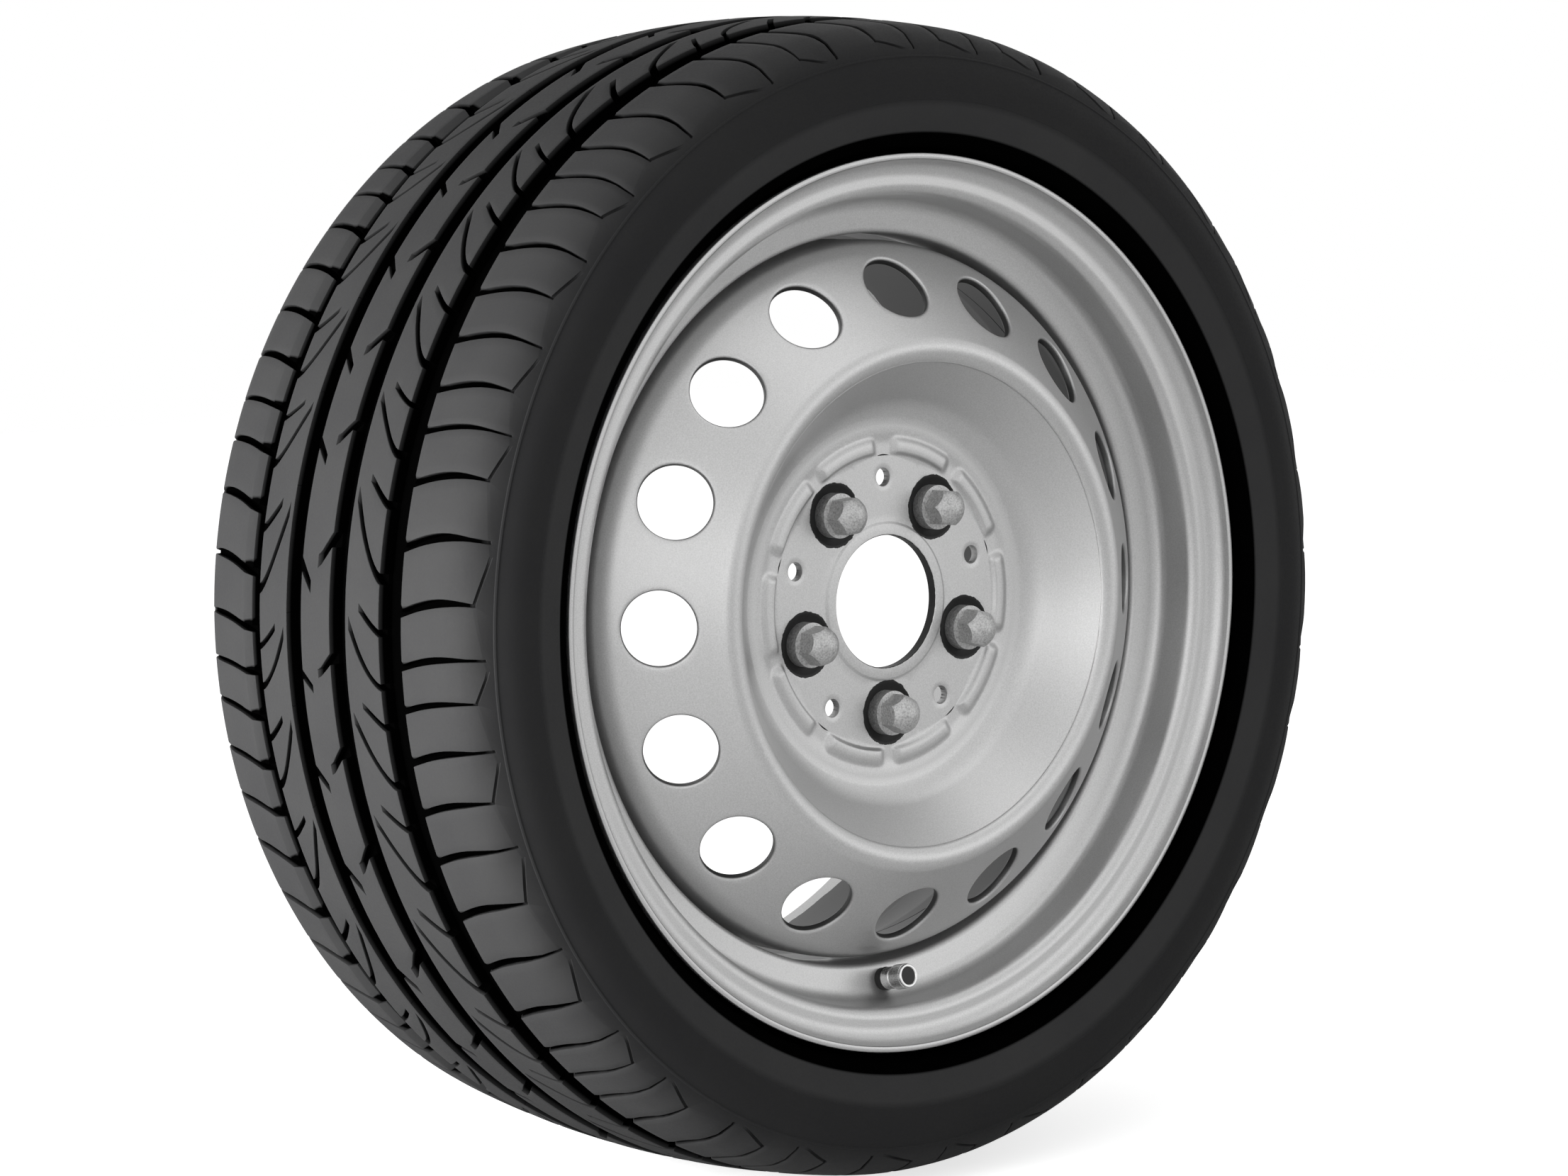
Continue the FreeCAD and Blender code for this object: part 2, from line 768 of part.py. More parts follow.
def drill_valve_hole(rim_shape, place):
    reach = size("drill_reach")
    drill = Part.makeCylinder(size("valve_hole_radius"), 2 * reach, FreeCAD.Vector(0, 0, -reach))
    drill.Placement = place
    return rim_shape.cut(drill)


def build_valve(place):
    lathe_body("valve_grommet", [
        ("stem_radius + valve_fit", "0 - rim_sheet - grommet_flange_height"),
        ("grommet_flange_radius", "0 - rim_sheet - grommet_flange_height"),
        ("grommet_flange_radius", "0 - rim_sheet - valve_fit"),
        ("valve_hole_radius - valve_fit", "0 - rim_sheet - valve_fit"),
        ("valve_hole_radius - valve_fit", "valve_fit"),
        ("grommet_lip_radius", "valve_fit"),
        ("nut_radius", "grommet_lip_height"),
        ("stem_radius + valve_fit", "grommet_lip_height"),
    ], place)
    lathe_body("valve_stem", [
        ("stem_throat_radius", "0 - rim_sheet - grommet_flange_height - stem_head_height"),
        ("stem_head_radius", "0 - rim_sheet - grommet_flange_height - stem_head_height"),
        ("stem_head_radius", "0 - rim_sheet - grommet_flange_height"),
        ("stem_radius", "0 - rim_sheet - grommet_flange_height"),
        ("stem_radius", "stem_top"),
        ("stem_bore_radius", "stem_top"),
        ("stem_bore_radius", "spring_foot"),
        ("stem_throat_radius", "spring_foot"),
    ], place)
    lathe_body("valve_nut", [
        ("stem_radius + valve_fit", "grommet_lip_height"),
        ("nut_radius", "grommet_lip_height"),
        ("nut_radius", "grommet_lip_height + nut_height - cap_gap"),
        ("nut_radius - cap_gap", "grommet_lip_height + nut_height"),
        ("stem_radius + valve_fit", "grommet_lip_height + nut_height"),
    ], place)
    build_valve_core(place)
    build_valve_cap(place)


def build_valve_core(place):
    lathe_body("valve_core_plug", [
        ("core_bore_radius", "plug_bottom"),
        ("stem_bore_radius - core_play", "plug_bottom"),
        ("stem_bore_radius - core_play", "plug_top"),
        ("core_bore_radius", "plug_top"),
    ], place)
    lathe_body("valve_core_gasket", [
        ("core_bore_radius", "gasket_bottom"),
        ("stem_bore_radius - core_play", "gasket_bottom"),
        ("stem_bore_radius - core_play", "plug_bottom"),
        ("core_bore_radius", "plug_bottom"),
    ], place)
    lathe_body("valve_core_cup_seal", [
        ("pin_radius", "gasket_bottom - cup_seal_height"),
        ("cup_radius", "gasket_bottom - cup_seal_height"),
        ("cup_radius", "gasket_bottom"),
        ("pin_radius", "gasket_bottom"),
    ], place)
    lathe_body("valve_core_cup", [
        ("pin_radius", "gasket_bottom - cup_seal_height - cup_height"),
        ("cup_radius", "gasket_bottom - cup_seal_height - cup_height"),
        ("cup_radius", "gasket_bottom - cup_seal_height"),
        ("pin_radius", "gasket_bottom - cup_seal_height"),
    ], place)
    lathe_body("valve_core_pin", [
        ("0", "spring_foot + cup_height"),
        ("pin_radius", "spring_foot + cup_height"),
        ("pin_radius", "plug_top - pin_button_height / 2"),
        ("pin_button_radius", "plug_top - pin_button_height / 2"),
        ("pin_button_radius", "plug_top + pin_button_height / 2"),
        ("0", "plug_top + pin_button_height / 2"),
    ], place)
    part_feature("valve_core_spring", build_spring()).Placement = place


def build_spring():
    wire = size("spring_wire_radius")
    low = size("spring_foot") + wire
    high = size("gasket_bottom") - size("cup_seal_height") - size("cup_height") - wire - size("core_play")
    pitch = (high - low) / size("spring_turns")
    helix = Part.makeHelix(pitch, high - low, size("spring_radius"))
    helix.translate(FreeCAD.Vector(0, 0, low))
    start = FreeCAD.Vector(size("spring_radius"), 0, low)
    ring = Part.Wire(Part.makeCircle(wire, start, FreeCAD.Vector(0, 1, 0)))
    return Part.Wire(helix).makePipeShell([ring], True, True)


def build_valve_cap(place):
    foot = "grommet_lip_height + nut_height + cap_gap"
    top = foot + " + cap_height"
    roof = top + " - cap_roof"
    lathe_body("valve_cap", [
        ("stem_radius + valve_fit", foot),
        ("cap_radius - cap_gap", foot),
        ("cap_radius", foot + " + cap_gap"),
        ("cap_radius", top + " - cap_gap"),
        ("cap_radius - cap_gap", top),
        ("cap_insert_radius + cap_gap", top),
        ("cap_insert_radius", top + " - cap_gap"),
        ("cap_insert_radius", top + " - cap_gap - cap_insert_height"),
        ("0", top + " - cap_gap - cap_insert_height"),
        ("0", roof),
        ("stem_radius + valve_fit", roof),
    ], place)
    lathe_body("valve_cap_insert", [
        ("0", top + " - cap_gap - cap_insert_height"),
        ("cap_insert_radius - core_play", top + " - cap_gap - cap_insert_height"),
        ("cap_insert_radius - core_play", top + " - cap_gap"),
        ("0", top + " - cap_gap"),
    ], place)
    lathe_body("valve_cap_seal", [
        ("stem_bore_radius", "stem_top + core_play"),
        ("stem_radius", "stem_top + core_play"),
        ("stem_radius", roof),
        ("stem_bore_radius", roof),
    ], place)


# Build, check and write

valve_axis_place = valve_place()
part_feature("rim", drill_valve_hole(build_rim(), valve_axis_place))
part_feature("disc", build_disc())
part_feature("disc_welds", build_disc_welds())
part_feature("tyre", build_tyre())
build_valve(valve_axis_place)
bolt_piece = build_bolt_blank()
doc.recompute()
part_feature("wheel_bolts", build_wheel_bolts(bolt_piece))
doc.recompute()

NODES = [
    "rim", "disc", "disc_welds", "tyre", "wheel_bolts",
    "valve_stem", "valve_grommet", "valve_nut",
    "valve_core_plug", "valve_core_gasket", "valve_core_pin",
    "valve_core_cup", "valve_core_cup_seal", "valve_core_spring",
    "valve_cap", "valve_cap_insert", "valve_cap_seal",
]

for item in doc.Objects:
    if {"Invalid", "Error"} & set(item.State):
        raise RuntimeError("%s failed: %s" % (item.Label, item.State))
for label in NODES:
    shape = doc.getObjectsByLabel(label)[0].Shape
    if shape.isNull() or not shape.isValid():
        raise RuntimeError("%s has no valid shape" % label)

os.makedirs("parts", exist_ok=True)
for label in NODES:
    doc.getObjectsByLabel(label)[0].Shape.exportStep("parts/%s.step" % label)
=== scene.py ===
import json
import math

import bmesh
import bpy
import numpy as np
from mathutils import Matrix, Vector


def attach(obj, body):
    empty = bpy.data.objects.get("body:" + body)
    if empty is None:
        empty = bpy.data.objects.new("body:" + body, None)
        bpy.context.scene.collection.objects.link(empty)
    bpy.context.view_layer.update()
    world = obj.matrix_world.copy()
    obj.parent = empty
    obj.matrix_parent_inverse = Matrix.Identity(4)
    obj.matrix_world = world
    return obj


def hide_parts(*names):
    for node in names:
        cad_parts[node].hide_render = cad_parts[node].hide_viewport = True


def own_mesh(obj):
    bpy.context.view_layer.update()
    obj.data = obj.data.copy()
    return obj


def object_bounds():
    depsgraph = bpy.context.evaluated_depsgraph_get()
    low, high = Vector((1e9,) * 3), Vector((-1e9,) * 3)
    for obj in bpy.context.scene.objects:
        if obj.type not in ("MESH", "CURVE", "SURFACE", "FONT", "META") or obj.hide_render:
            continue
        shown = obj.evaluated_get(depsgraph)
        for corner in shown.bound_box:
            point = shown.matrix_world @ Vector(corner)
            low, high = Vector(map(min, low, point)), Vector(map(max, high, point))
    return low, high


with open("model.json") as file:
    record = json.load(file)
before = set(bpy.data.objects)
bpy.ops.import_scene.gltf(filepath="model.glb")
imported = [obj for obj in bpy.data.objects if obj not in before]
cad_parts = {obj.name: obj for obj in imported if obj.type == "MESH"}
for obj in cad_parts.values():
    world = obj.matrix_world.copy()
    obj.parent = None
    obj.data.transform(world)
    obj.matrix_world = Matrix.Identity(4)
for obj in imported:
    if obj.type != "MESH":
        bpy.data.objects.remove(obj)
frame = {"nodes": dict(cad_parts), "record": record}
cad_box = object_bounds()

# Sizes are in millimetres and degrees, as on the drawing, and become metres where points are made
MM = 0.001

# Rim
RIM_HALF = 95.25
LIP_FACE = 104.75
FLANGE_RADIUS = 220.3
BEAD_SEAT_RADIUS = 202.8
SEAT_END_RADIUS = 200.79
SEAT_END = 72.25
WELL_RADIUS = 184.0
WELL_START = -68.68
WELL_END = -18.68
RAMP_END = 23.32
RIM_SHEET = 3.0

# Disc
DISC_FRONT = -77.5
DISC_SHEET = 4.5
MOUNTING_FACE = DISC_FRONT + DISC_SHEET
BORE_RADIUS = 33.3
LAND_RADIUS = 39.2
LAND_HEIGHT = 0.8
SKIRT_RADIUS = 180.85
SKIRT_LENGTH = 30.0
BOWL_FOOT = 95.7
BOWL_ANGLE = 52.0
BOWL_FILLET = 24.0
CROWN_FILLET = 9.0
SKIRT_BEND = 22.0
VENT_CIRCLE = 157.2
VENT_DROP = 12.5
VENT_SLOPE = 40.0
VENT_RADIUS = 18.2
VENT_COUNT = 16
PAD_INNER = 74.0
PAD_OUTER = 80.0
PAD_HEIGHT = 2.0
SHELF_HEIGHT = 1.1
PAD_WIDE_GAP = 10.0
PAD_NARROW_GAP = 7.0
PAD_FIRST_GAP = 18.0
BOLT_COUNT = 5
BOLT_STEP = 360.0 / BOLT_COUNT
FIRST_BOLT = 54.0
FIRST_SMALL_HOLE = 90.0
BOLT_CIRCLE = 56.0
SMALL_HOLE_CIRCLE = 62.4
SMALL_HOLE_RADIUS = 4.5
BOLT_HOLE_RADIUS = 7.6
SEAT_DEPTH = 2.0
SEAT_FLOOR = 11.6
SEAT_RIM = 15.7
BLACK_SEAT_RADIUS = 16.4
FAR_FROM_SEATS = 50.0
SHEET_EDGE = 0.8
WHEEL_COLUMNS = 400

# Tyre
TYRE_RADIUS = 293.5
CROWN_DROP = 8.0
TREAD_HALF = 98.0
GROOVE_HALF = 6.2
GROOVE_DEPTH = 7.5
INNER_GROOVE = 17.7
OUTER_GROOVE = 54.5
SHOULDER_START = 82.0
SLOT_REACH = 105.0
RING_SPOT = (270.5, 110.0)
STEP_SPOT = (249.5, 115.5)
PROTECTOR_SPOT = (227.5, 108.5)
PITCHES = "LLMSSMMMMSMLLMSMMMLLLMSSMLMSMLLSMMLMSSMLMMSLLMSMMLSMLSSMLMLMSMLLMSMSMLSM"
REPEATS = len(PITCHES) // 2
REPEAT_COLUMNS = 20
PITCH_SHARE = {"S": 0.81, "M": 1.0, "L": 1.21}
FIRST_SLOT = 111.4
PITCH_LENGTH = 25.4
GRID_STEP = 0.1


# Points and meshes

def wheel_points(radius, axial, degrees):
    """Points in metres from radii, axial places and angles round the axle."""
    turn = np.radians(degrees)
    x, y, z = np.broadcast_arrays(radius * np.cos(turn), axial, radius * np.sin(turn))
    return MM * np.stack([x, y, z], -1)


def grid_quads(rows, columns, wrap):
    """Corner indices of the quads of a grid, joined round at the last column if it wraps."""
    i = np.arange(rows - 1)[:, None]
    j = np.arange(columns if wrap else columns - 1)[None, :]
    k = (j + 1) % columns
    row, after = i * columns, (i + 1) * columns
    return np.stack([row + j, row + k, after + k, after + j], -1).reshape(-1, 4)


def make_mesh(name, patches, sharp=35.0, marks=()):
    """One mesh from grids of points, welded where they meet; marks names a value for each point."""
    points, quads, values, start = [], [], [], 0
    for number, (grid, wrap) in enumerate(patches):
        rows, columns = grid.shape[:2]
        points.append(grid.reshape(-1, 3))
        quads.append(grid_quads(rows, columns, wrap) + start)
        start += rows * columns
        if marks:
            values.append(np.broadcast_to(marks[1][number], (rows, columns)).reshape(-1))
    mesh = bpy.data.meshes.new(name)
    mesh.from_pydata(np.concatenate(points).tolist(), [], np.concatenate(quads).tolist())
    if marks:
        layer = mesh.attributes.new(marks[0], "FLOAT", "POINT")
        layer.data.foreach_set("value", np.concatenate(values).astype(np.float32))
    shape = bmesh.new()
    shape.from_mesh(mesh)
    bmesh.ops.remove_doubles(shape, verts=shape.verts, dist=2e-6)
    bmesh.ops.dissolve_degenerate(shape, edges=shape.edges, dist=1e-7)
    bmesh.ops.recalc_face_normals(shape, faces=shape.faces)
    shape.to_mesh(mesh)
    shape.free()
    mesh.polygons.foreach_set("use_smooth", [True] * len(mesh.polygons))
    mesh.set_sharp_from_angle(angle=math.radians(sharp))
    return mesh


def add_piece(name, mesh, material, node):
    """A piece of the wheel that stands for a node of the frame, hung from the wheel body, with the node
    hidden.
    """
    piece = bpy.data.objects.new(name, mesh)
    bpy.context.scene.collection.objects.link(piece)
    mesh.materials.clear()
    mesh.materials.append(material)
    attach(piece, "wheel")
    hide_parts(node)
    return piece


def smooth_step(value, low, high):
    share = np.clip((value - low) / (high - low), 0, 1)
    return share * share * (3 - 2 * share)


# Outlines in (radius, axial) pairs

def rounded(corners, step=6.0):
    """Points along straight runs with each corner rounded by its own radius."""
    path = []
    last = len(corners) - 1
    for k, (radius, axial, bend) in enumerate(corners):
        point = np.array([radius, axial])
        if bend == 0 or k in (0, last):
            path.append(point)
            continue
        before = np.array(corners[k - 1][:2]) - point
        after = np.array(corners[k + 1][:2]) - point
        before /= np.linalg.norm(before)
        after /= np.linalg.norm(after)
        half = math.acos(float(np.clip(before @ after, -1, 1))) / 2
        bisector = (before + after) / np.linalg.norm(before + after)
        centre = point + bisector * bend / math.sin(half)
        enter = point + before * bend / math.tan(half) - centre
        leave = point + after * bend / math.tan(half) - centre
        swing = math.atan2(enter[0] * leave[1] - enter[1] * leave[0], enter @ leave)
        count = max(2, int(abs(math.degrees(swing)) / step))
        for turn in np.linspace(0, swing, count + 1):
            c, s = math.cos(turn), math.sin(turn)
            path.append(centre + np.array([c * enter[0] - s * enter[1], s * enter[0] + c * enter[1]]))
    return np.array(path)


def offset_corners(corners, distance):
    """The corners of a parallel line at this distance to the left, with bends to suit."""
    points = np.array([c[:2] for c in corners], float)
    along = np.diff(points, axis=0)
    along /= np.linalg.norm(along, axis=1)[:, None]
    left = np.stack([-along[:, 1], along[:, 0]], -1)
    moved = [tuple(points[0] + distance * left[0]) + (0,)]
    for k in range(1, len(points) - 1):
        turn = along[k - 1][0] * along[k][1] - along[k - 1][1] * along[k][0]
        share = 1 + left[k - 1] @ left[k]
        point = points[k] + distance * (left[k - 1] + left[k]) / share
        bend = corners[k][2] - distance * np.sign(turn) if corners[k][2] else 0
        moved.append((point[0], point[1], max(bend, 0.3) if corners[k][2] else 0))
    moved.append(tuple(points[-1] + distance * left[-1]) + (0,))
    return moved


def turned_grid(path, twist=0.0):
    degrees = 360.0 * np.arange(WHEEL_COLUMNS) / WHEEL_COLUMNS + twist
    return wheel_points(path[:, :1], path[:, 1:], degrees[None, :])


def close_outline(path):
    return np.concatenate([path, path[:1]])


# Material helpers

def new_material(name):
    material = bpy.data.materials.new(name)
    material.use_nodes = True
    tree = material.node_tree
    shader = tree.nodes["Principled BSDF"]
    return material, tree, shader


def add_node(tree, kind, **values):
    made = tree.nodes.new(kind)
    for key, value in values.items():
        if key in made.inputs:
            made.inputs[key].default_value = value
        else:
            setattr(made, key, value)
    return made


def math_node(tree, operation, first, second=0.0):
    made = tree.nodes.new("ShaderNodeMath")
    made.operation = operation
    for socket, value in zip(made.inputs, (first, second)):
        if isinstance(value, (int, float)):
            socket.default_value = value
        else:
            tree.links.new(value, socket)
    return made.outputs[0]


def noise(tree, scale, detail=2.0):
    place = tree.nodes.get("Texture Coordinate") or tree.nodes.new("ShaderNodeTexCoord")
    made = add_node(tree, "ShaderNodeTexNoise", Scale=scale, Detail=detail)
    tree.links.new(place.outputs["Object"], made.inputs["Vector"])
    return made.outputs["Fac"]


def ramp(tree, value, stops):
    """A colour ramp from (place, grey or colour) stops."""
    made = tree.nodes.new("ShaderNodeValToRGB")
    band = made.color_ramp
    for k, (place, colour) in enumerate(stops):
        stop = band.elements[k] if k < 2 else band.elements.new(place)
        stop.position = place
        stop.color = (colour, colour, colour, 1) if isinstance(colour, float) else (*colour, 1)
    tree.links.new(value, made.inputs["Fac"])
    return made.outputs["Color"]


def mix(tree, factor, first, second):
    made = tree.nodes.new("ShaderNodeMix")
    made.data_type = "RGBA"
    for socket, value in ((made.inputs[0], factor), (made.inputs[6], first), (made.inputs[7], second)):
        if hasattr(value, "is_linked"):
            tree.links.new(value, socket)
        elif isinstance(value, (int, float)):
            socket.default_value = value
        else:
            socket.default_value = (*value, 1)
    return made.outputs[2]


def bump(tree, shader, height, distance, strength=1.0):
    made = add_node(tree, "ShaderNodeBump", Strength=strength, Distance=distance)
    tree.links.new(height, made.inputs["Height"])
    tree.links.new(made.outputs["Normal"], shader.inputs["Normal"])


def axle_place(tree):
    """Distance from the axle and place along it, in metres."""
    place = tree.nodes.get("Texture Coordinate") or tree.nodes.new("ShaderNodeTexCoord")
    parts = tree.nodes.new("ShaderNodeSeparateXYZ")
    tree.links.new(place.outputs["Object"], parts.inputs[0])
    square_x = math_node(tree, "POWER", parts.outputs["X"], 2.0)
    square_z = math_node(tree, "POWER", parts.outputs["Z"], 2.0)
    return math_node(tree, "SQRT", math_node(tree, "ADD", square_x, square_z)), parts.outputs["Y"]


# Materials

# Painted shade: a darker grey inside the barrel between these axial places and on the back of the disc, where
# shade falls
BARREL_START = -0.0405
BARREL_END = 0.084
PAINTED_INSIDE_SHADE = ((0.07, 0.07, 0.07), (0.11, 0.11, 0.11))


def silver_paint(name, masked=False, painted_shade_inside=False):
    """Satin silver paint with a fine grain: masked gives black seats and bore and painted shade on the back
    of the disc; the inside flag gives painted shade inside the barrel.
    """
    material, tree, shader = new_material(name)
    grain = noise(tree, 1500.0, 3.0)
    cloud = noise(tree, 14.0, 2.0)
    colour = ramp(tree, grain, [(0.30, 0.46), (0.70, 0.58)])
    colour = mix(tree, math_node(tree, "MULTIPLY", cloud, 0.18), colour, (0.46, 0.46, 0.455))
    rough = math_node(tree, "MULTIPLY_ADD", grain, 0.14)
    rough.node.inputs[2].default_value = 0.36
    metal = None
    if masked:
        seat = add_node(tree, "ShaderNodeAttribute", attribute_name="seat_edge").outputs["Fac"]
        rag = math_node(tree, "MULTIPLY_ADD", noise(tree, 420.0, 4.0), 1.6)
        rag.node.inputs[2].default_value = -0.8
        black = math_node(tree, "LESS_THAN", math_node(tree, "ADD", seat, rag), 0.0)
        # Painted shade on the back of the disc, the skirt's inner side and the vent walls, where the back
        # attribute is set
        back = add_node(tree, "ShaderNodeAttribute", attribute_name="back").outputs["Fac"]
        colour = mix(tree, back, colour, mix(tree, grain, *PAINTED_INSIDE_SHADE))
        colour = mix(tree, black, colour, (0.012, 0.012, 0.012))
        metal = math_node(tree, "MULTIPLY", math_node(tree, "SUBTRACT", 1.0, black), 0.88)
    # Painted shade inside the barrel, with a ragged edge
    if painted_shade_inside:
        ragged = math_node(tree, "MULTIPLY", noise(tree, 60.0, 3.0), 0.006)
        axial = math_node(tree, "ADD", axle_place(tree)[1], ragged)
        past = math_node(tree, "GREATER_THAN", axial, BARREL_START)
        before = math_node(tree, "LESS_THAN", axial, BARREL_END)
        inside = math_node(tree, "MULTIPLY", past, before)
        colour = mix(tree, inside, colour, mix(tree, grain, *PAINTED_INSIDE_SHADE))
    tree.links.new(colour, shader.inputs["Base Color"])
    tree.links.new(rough, shader.inputs["Roughness"])
    if metal:
        tree.links.new(metal, shader.inputs["Metallic"])
    else:
        shader.inputs["Metallic"].default_value = 0.88
    shader.inputs["Specular IOR Level"].default_value = 0.25
    bump(tree, shader, grain, 0.00006, 0.6)
    return material


def tyre_rubber():
    """Black rubber: greyer on the tread and darker on the sidewall, with painted shade near black in the cuts
    and in the gap against the rim.
    """
    material, tree, shader = new_material("tyre_rubber")
    distance = axle_place(tree)[0]
    cut = add_node(tree, "ShaderNodeAttribute", attribute_name="cut").outputs["Fac"]
    cloud = noise(tree, 22.0, 4.0)
    fine = noise(tree, 900.0, 3.0)
    tread = mix(tree, cloud, (0.027, 0.027, 0.028), (0.04, 0.04, 0.04))
    side = mix(tree, cloud, (0.014, 0.014, 0.015), (0.02, 0.02, 0.02))
    band = mix(tree, cloud, (0.026, 0.026, 0.027), (0.037, 0.037, 0.037))
    side = mix(tree, ramp(tree, distance, [(0.2465, 0.0), (0.2495, 1.0)]), band, side)
    share = ramp(tree, distance, [(0.2705, 0.0), (0.2825, 1.0)])
    colour = mix(tree, share, side, tread)
    # Painted shade: near black where the cut attribute marks grooves, sipes, slots and the gap against the
    # rim
    deep = ramp(tree, cut, [(0.05, 0.0), (0.45, 1.0)])
    colour = mix(tree, deep, colour, (0.0006, 0.0006, 0.0006))
    tree.links.new(colour, shader.inputs["Base Color"])
    gloss = math_node(tree, "MULTIPLY", math_node(tree, "SUBTRACT", 1.0, deep), 0.1)
    tree.links.new(gloss, shader.inputs["Specular IOR Level"])
    rough = ramp(tree, fine, [(0.3, 0.66), (0.7, 0.78)])
    tree.links.new(rough, shader.inputs["Roughness"])
    height = math_node(tree, "ADD", fine, math_node(tree, "MULTIPLY", cloud, 0.6))
    bump(tree, shader, height, 0.00008, 0.5)
    return material


def zinc_coat():
    """Dull zinc on steel, speckled light and dark."""
    material, tree, shader = new_material("zinc_coat")
    speck = noise(tree, 1100.0, 4.0)
    cloud = noise(tree, 160.0, 3.0)
    colour = ramp(tree, speck, [(0.32, 0.3), (0.52, 0.5), (0.72, 0.66)])
    colour = mix(tree, math_node(tree, "MULTIPLY", cloud, 0.4), colour, (0.36, 0.36, 0.355))
    tree.links.new(colour, shader.inputs["Base Color"])
    shader.inputs["Metallic"].default_value = 0.9
    tree.links.new(ramp(tree, speck, [(0.3, 0.42), (0.7, 0.62)]), shader.inputs["Roughness"])
    bump(tree, shader, speck, 0.00012, 0.7)
    return material


def plated_metal(name, colour, roughness):
    material, tree, shader = new_material(name)
    streak = noise(tree, 700.0, 2.0)
    dark = tuple(0.8 * c for c in colour)
    tree.links.new(mix(tree, streak, dark, colour), shader.inputs["Base Color"])
    shader.inputs["Metallic"].default_value = 0.9
    rough = ramp(tree, streak, [(0.3, roughness), (0.7, roughness + 0.12)])
    tree.links.new(rough, shader.inputs["Roughness"])
    bump(tree, shader, streak, 0.00003, 0.4)
    return material


def black_moulding(name, grey, roughness):
    material, tree, shader = new_material(name)
    fine = noise(tree, 1600.0, 3.0)
    tree.links.new(mix(tree, fine, (0.7 * grey,) * 3, (1.3 * grey,) * 3), shader.inputs["Base Color"])
    tree.links.new(ramp(tree, fine, [(0.3, roughness), (0.7, roughness + 0.1)]), shader.inputs["Roughness"])
    shader.inputs["Specular IOR Level"].default_value = 0.3
    bump(tree, shader, fine, 0.00004, 0.4)
    return material


# Rim

def build_rim(material):
    bend = LIP_FACE - RIM_HALF
    path = [
        (FLANGE_RADIUS, -LIP_FACE, 0),
        (FLANGE_RADIUS, -RIM_HALF, bend - 0.5),
        (BEAD_SEAT_RADIUS, -RIM_HALF, 6.5),
        (SEAT_END_RADIUS, -SEAT_END, 8.0),
        (WELL_RADIUS, WELL_START, 3.6),
        (WELL_RADIUS, WELL_END, 9.0),
        (SEAT_END_RADIUS, RAMP_END, 9.0),
        (SEAT_END_RADIUS, SEAT_END, 0),
        (BEAD_SEAT_RADIUS, RIM_HALF, 6.5),
        (FLANGE_RADIUS, RIM_HALF, bend - 0.5),
        (FLANGE_RADIUS, LIP_FACE, 0),
    ]
    tyre_side = rounded(path)
    axle_side = rounded(offset_corners(path, -RIM_SHEET))
    outline = close_outline(np.concatenate([tyre_side, axle_side[::-1]]))
    outline = soften(outline, (0, len(tyre_side) - 1, len(tyre_side), len(outline) - 2), 0.9)
    add_piece("rim_shell", make_mesh("rim_shell", [(turned_grid(outline), True)]), material, "rim")


def soften(outline, sharp, cut):
    """The outline with these corner points split in two, to round a sheet's edge."""
    points = []
    count = len(outline) - 1
    for k in range(count):
        point = outline[k]
        if k in sharp:
            before = outline[(k - 1) % count] - point
            after = outline[(k + 1) % count] - point
            before, after = before / np.linalg.norm(before), after / np.linalg.norm(after)
            points += [point + before * cut, point + (before + after) * cut * 0.3, point + after * cut]
        else:
            points.append(point)
    return close_outline(np.array(points))


# Disc

def slope(degrees):
    return math.tan(math.radians(degrees))


CROWN_RADIUS = (BOWL_FOOT * slope(BOWL_ANGLE) + VENT_CIRCLE * slope(VENT_SLOPE) + VENT_DROP) / (
    slope(BOWL_ANGLE) + slope(VENT_SLOPE))
CROWN_FRONT = DISC_FRONT - (CROWN_RADIUS - BOWL_FOOT) * slope(BOWL_ANGLE)
VENT_FRONT = DISC_FRONT - VENT_DROP
SKIRT_TURN = VENT_FRONT + (SKIRT_RADIUS - VENT_CIRCLE) * slope(VENT_SLOPE)
DISC_CORNERS = [
    (BORE_RADIUS, DISC_FRONT, 0),
    (BOWL_FOOT, DISC_FRONT, BOWL_FILLET),
    (CROWN_RADIUS, CROWN_FRONT, CROWN_FILLET),
    (SKIRT_RADIUS, SKIRT_TURN, SKIRT_BEND),
    (SKIRT_RADIUS, SKIRT_TURN + SKIRT_LENGTH, 0),
]
DISC_PATH = rounded(DISC_CORNERS, 2.0)
DISC_BACK = rounded(offset_corners(DISC_CORNERS, DISC_SHEET), 4.0)
HUB_INNER = 40.4
HUB_OUTER = 73.2
PAD_END = 92.0
VENT_FROM = -27.0
VENT_TO = 20.4
VENT_OUT = math.cos(math.radians(VENT_SLOPE))
VENT_BACK = math.sin(math.radians(VENT_SLOPE))
CREASE_RADIUS = 120.6


def front_axial(radius):
    return np.interp(radius, DISC_PATH[:, 0], DISC_PATH[:, 1])


def sector_edge(half_angle, low, high, across, up):
    """Points round a sector's edge as (angle, other coordinate), anticlockwise from its low corner."""
    a = np.linspace(-half_angle, half_angle, across + 1)
    b = np.linspace(low, high, up + 1)
    sides = [
        np.stack([a[:-1], np.full(across, low)], -1),
        np.stack([np.full(up, half_angle), b[:-1]], -1),
        np.stack([a[:0:-1], np.full(across, high)], -1),
        np.stack([np.full(up, -half_angle), b[:0:-1]], -1),
    ]
    return np.concatenate(sides)


def hub_ring(directions, circle, radius):
    """A round line on the hub face about a hole, as (angle, radius) pairs."""
    across = radius * np.cos(directions)
    out = circle + radius * np.sin(directions)
    return np.stack([np.degrees(np.arctan2(across, out)), np.hypot(across, out)], -1)


